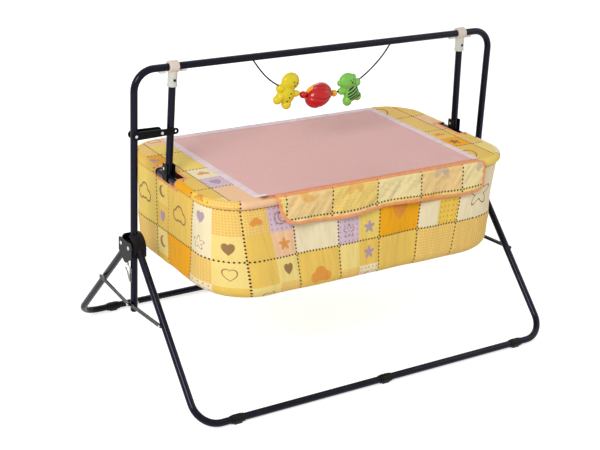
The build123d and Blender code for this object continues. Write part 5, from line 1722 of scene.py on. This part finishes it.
# %% [markdown]
# Stuffing pushes a cover out most where nothing holds it.
# So the pad is remeshed into small even faces and blown up a little as cloth. Its travel is capped to keep
# it inside the basket, and the result is kept as plain mesh.

# %% Blow up the mattress
mattress_pad = link_mesh("mattress_pad", pad_form(), pad_cotton())
even_faces(mattress_pad, PAD_VOXEL)
apply_modifiers(mattress_pad)
pad_rest = [v.co.copy() for v in mattress_pad.data.vertices]
cloth = mattress_pad.modifiers.new("blown_up", "CLOTH")
cloth.settings.quality = 4
cloth.settings.use_pressure = True
cloth.settings.uniform_pressure_force = 4.0
cloth.settings.effector_weights.gravity = 0.0
for number in range(1, PAD_FRAMES + 1):
    bpy.context.scene.frame_set(number)
apply_modifiers(mattress_pad)
bpy.context.scene.frame_set(1)
for vertex, rest in zip(mattress_pad.data.vertices, pad_rest):
    move = vertex.co - rest
    if move.length > PAD_PUFF:
        move *= PAD_PUFF / move.length
    place = rest + move
    crown = max(0.0, 1 - (place.x / bed_high.x) ** 4) * max(0.0, 1 - (place.y / bed_high.y) ** 4)
    if rest.z > (bed_low.z + bed_high.z) / 2:
        place.z += PAD_CROWN * crown - PAD_DROP * (1 - crown)
    place.z = max(place.z, bed_low.z)
    vertex.co = place
rounder = mattress_pad.modifiers.new("rounder", "SUBSURF")
rounder.levels = rounder.render_levels = 1
apply_modifiers(mattress_pad)
smooth_shade(mattress_pad.data)
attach(mattress_pad, "cradle")
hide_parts("mattress")
print("mattress", len(mattress_pad.data.polygons), "faces")

# %% [markdown]
# The toys are moulded figures, threaded on the string.
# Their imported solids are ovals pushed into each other, which shows hard creases. Remeshing a copy and
# smoothing it melts the creases into the soft fillets of a moulding, and keeps every size.

# %% Toys
MELT_SIZE, MELT_ROUNDS = 1.3 * MM, 8


def melt(name, node, material, limbs=()):
    """A smooth copy of a packed figure; limbs are more balls in millimetres: x, y, z and a radius."""
    joined = bmesh.new()
    joined.from_mesh(nodes[node].data)
    for x, y, z, radius in limbs:
        bmesh.ops.create_icosphere(joined, subdivisions=3, radius=radius * MM,
                                   matrix=Matrix.Translation(Vector((x, y, z)) * MM))
    piece = link_mesh(name, made_mesh(name, joined), material)
    even_faces(piece, MELT_SIZE)
    melted = piece.modifiers.new("melt", "SMOOTH")
    melted.factor = 0.5
    melted.iterations = MELT_ROUNDS
    apply_modifiers(piece)
    smooth_shade(piece.data)
    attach(piece, "toy_string")
    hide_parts(node)
    return piece


toy_black = moulded("black_toy_paint", tint(14, 10, 10), tint(8, 6, 6), 0.4, 0.00002, 0.0, tint(30, 26, 26),
                    gloss=0.1)
bear = melt("bear_figure", "toy_bear", finishes["yellow_vinyl"],
            limbs=[(-146, 0, 704, 12.5), (-136, 0, 713, 13.5), (-117, 0, 690, 13)])
bug = melt("bug_figure", "toy_bug", finishes["green_vinyl"])
print("figures", [len(p.data.polygons) for p in (bear, bug)])

# %% [markdown]
# The red fruit is one swollen form with lobes that twist from end to end, like a turban.
# It is a ball drawn in polar steps round the string's direction. A sine of the angle pinches it into lobes,
# and adding some of the distance along to the angle gives the twist.

# %% Red fruit
FRUIT_MIDDLE = Vector((-17.0, 0.0, 702.0)) * MM
FRUIT_HALF = (40 * MM, 29 * MM, 32 * MM)
FRUIT_LOBES, FRUIT_TWIST, FRUIT_PINCH = 5, 1.1, 0.1
FRUIT_TILT = math.radians(-24)
FRUIT_RINGS, FRUIT_SIDES = 48, 112


def fruit_at(i, j):
    turn = 2 * math.pi * j / FRUIT_SIDES
    along = math.pi * (i + 0.02) / (FRUIT_RINGS + 0.04)
    valley = abs(math.sin((turn + FRUIT_TWIST * math.cos(along)) * FRUIT_LOBES / 2 + 0.9))
    swell = 1 - FRUIT_PINCH * math.exp(-(valley / 0.3) ** 2) * math.sin(along) ** 0.6
    x = -math.cos(along) * FRUIT_HALF[0]
    y = math.sin(along) ** 0.85 * math.cos(turn) * FRUIT_HALF[1] * swell
    z = math.sin(along) ** 0.85 * math.sin(turn) * FRUIT_HALF[2] * swell
    return FRUIT_MIDDLE + Vector((x * math.cos(FRUIT_TILT) + z * math.sin(FRUIT_TILT), y,
                                  z * math.cos(FRUIT_TILT) - x * math.sin(FRUIT_TILT)))


fruit = cloth_grid("red_fruit", FRUIT_RINGS, FRUIT_SIDES, fruit_at, lambda i, j: (i * MM, j * MM),
                   finishes["red_plastic"], closed=True)
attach(fruit, "toy_string")
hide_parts("toy_fruit")
print("fruit", len(fruit.data.polygons), "faces")

# %% [markdown]
# Eyes, mouth and buttons are small raised dots, seated on the figure by a ray cast from the front.

# %% Dots on the toys
FRONT = Vector((0, -1, 0))


def seat(piece, x_mm, z_mm):
    """The place and facing on a piece, straight behind a place given in the plane of the arch."""
    hit, place, normal, _ = piece.ray_cast(Vector((x_mm * MM, -0.1, z_mm * MM)), -FRONT)
    return (place, normal) if hit else (Vector((x_mm * MM, -0.02, z_mm * MM)), FRONT)


def raised_dots(name, piece, dots, material):
    """One mesh of domed dots, each a row of x and z in millimetres and a radius."""
    shell = bmesh.new()
    for x, z, radius in dots:
        place, normal = seat(piece, x, z)
        turn = normal.to_track_quat("Z", "Y").to_matrix().to_4x4()
        squashed = Matrix.Diagonal((radius * MM, radius * MM, radius * MM * 0.55, 1.0))
        bmesh.ops.create_icosphere(shell, subdivisions=3, radius=1.0,
                                   matrix=Matrix.Translation(place) @ turn @ squashed)
    made = link_mesh(name, made_mesh(name, shell), material)
    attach(made, "toy_string")
    return made


bear_dots = raised_dots("bear_face_and_buttons", bear,
                        [(-104.0, 751.0, 1.8), (-94.0, 747.5, 1.8), (-101.0, 741.0, 2.3),
                         (-112.5, 720.5, 2.2), (-116.5, 710.5, 2.2), (-122.0, 699.5, 2.2)],
                        toy_black)
bug_dots = raised_dots("bug_face", bug, [(78.5, 735.0, 1.7), (90.0, 737.0, 1.7), (84.5, 729.0, 2.6)],
                       toy_black)
print("dots", len(bear_dots.data.polygons) + len(bug_dots.data.polygons), "faces")

# %% [markdown]
# The cord is a round braid.
# Its threads are far too thin to model along half a metre, so the shader draws them: a sine of the place
# gives slanting strands that raise the bump, with painted shade darkening the grooves between them.

# %% Braided cord
def braid():
    material, tree, shader, place = start_finish("black_braid")
    x, y, z = split(tree, place)
    twist = times(tree, plus(tree, times(tree, x, 900.0),
                             times(tree, y, 700.0)), 2.0)
    strand_with_groove_shade = calc(tree, "ABSOLUTE", calc(tree, "SINE", plus(tree, twist, times(tree, z, 500.0))))
    # Painted shade: the grooves between the strands take the darker colour.
    feed(tree, shader.inputs["Base Color"], blend_colours(tree, strand_with_groove_shade, tint(6, 6, 8), tint(22, 22, 25)))
    set_roughness(tree, shader, strand_with_groove_shade, 0.2, 0.55)
    shader.inputs["Specular IOR Level"].default_value = 0.06
    raise_bump(tree, shader, strand_with_groove_shade, 0.0003)
    return material


string_curve.materials.append(braid())
print("cord wears", string_curve.materials[0].name)

# %% [markdown]
# The cord's ends are tied off inside the top bar, where a knot sits behind each hole.
# A ball would do at this size, but a trefoil is the simplest true knot and its formula is short. A small tube
# is swept along it.

# %% Knots at the cord's ends
KNOT_LOOP, KNOT_STRAND = 0.72 * MM, 1.3 * MM
KNOT_STEPS, KNOT_SIDES = 72, 8
KNOT_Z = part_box("arch_tube")[1].z - 18.4 * MM


def knot_line(turn):
    """A trefoil, the simplest knot there is."""
    return Vector((math.sin(turn) + 2 * math.sin(2 * turn), math.cos(turn) - 2 * math.cos(2 * turn),
                   -math.sin(3 * turn))) * KNOT_LOOP


def knot_mesh_at(middle):
    def at(i, j):
        turn = 2 * math.pi * i / KNOT_STEPS
        here = knot_line(turn)
        ahead = (knot_line(turn + 0.01) - here).normalized()
        sideways = ahead.cross(Vector((0, 0, 1))).normalized()
        upward = sideways.cross(ahead)
        round_turn = 2 * math.pi * j / KNOT_SIDES
        return middle + here + (sideways * math.cos(round_turn) + upward * math.sin(round_turn)) * KNOT_STRAND

    return at


for word, inside, outside in (("left", CORD_POINTS_MM[0], CORD_POINTS_MM[1]),
                              ("right", CORD_POINTS_MM[-1], CORD_POINTS_MM[-2])):
    share = (inside[1] * MM - KNOT_Z) / ((inside[1] - outside[1]) * MM)
    middle = Vector(((inside[0] + (outside[0] - inside[0]) * share) * MM, 0.0, KNOT_Z))
    knot = cloth_grid(f"cord_knot_{word}", KNOT_STEPS, KNOT_SIDES, knot_mesh_at(middle),
                      lambda i, j: (i * MM, j * MM), string_curve.materials[0], closed=True)
    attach(knot, "toy_string")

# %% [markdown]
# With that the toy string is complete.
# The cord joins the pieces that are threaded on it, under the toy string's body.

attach(toy_cord, "toy_string")
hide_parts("toy_cord")
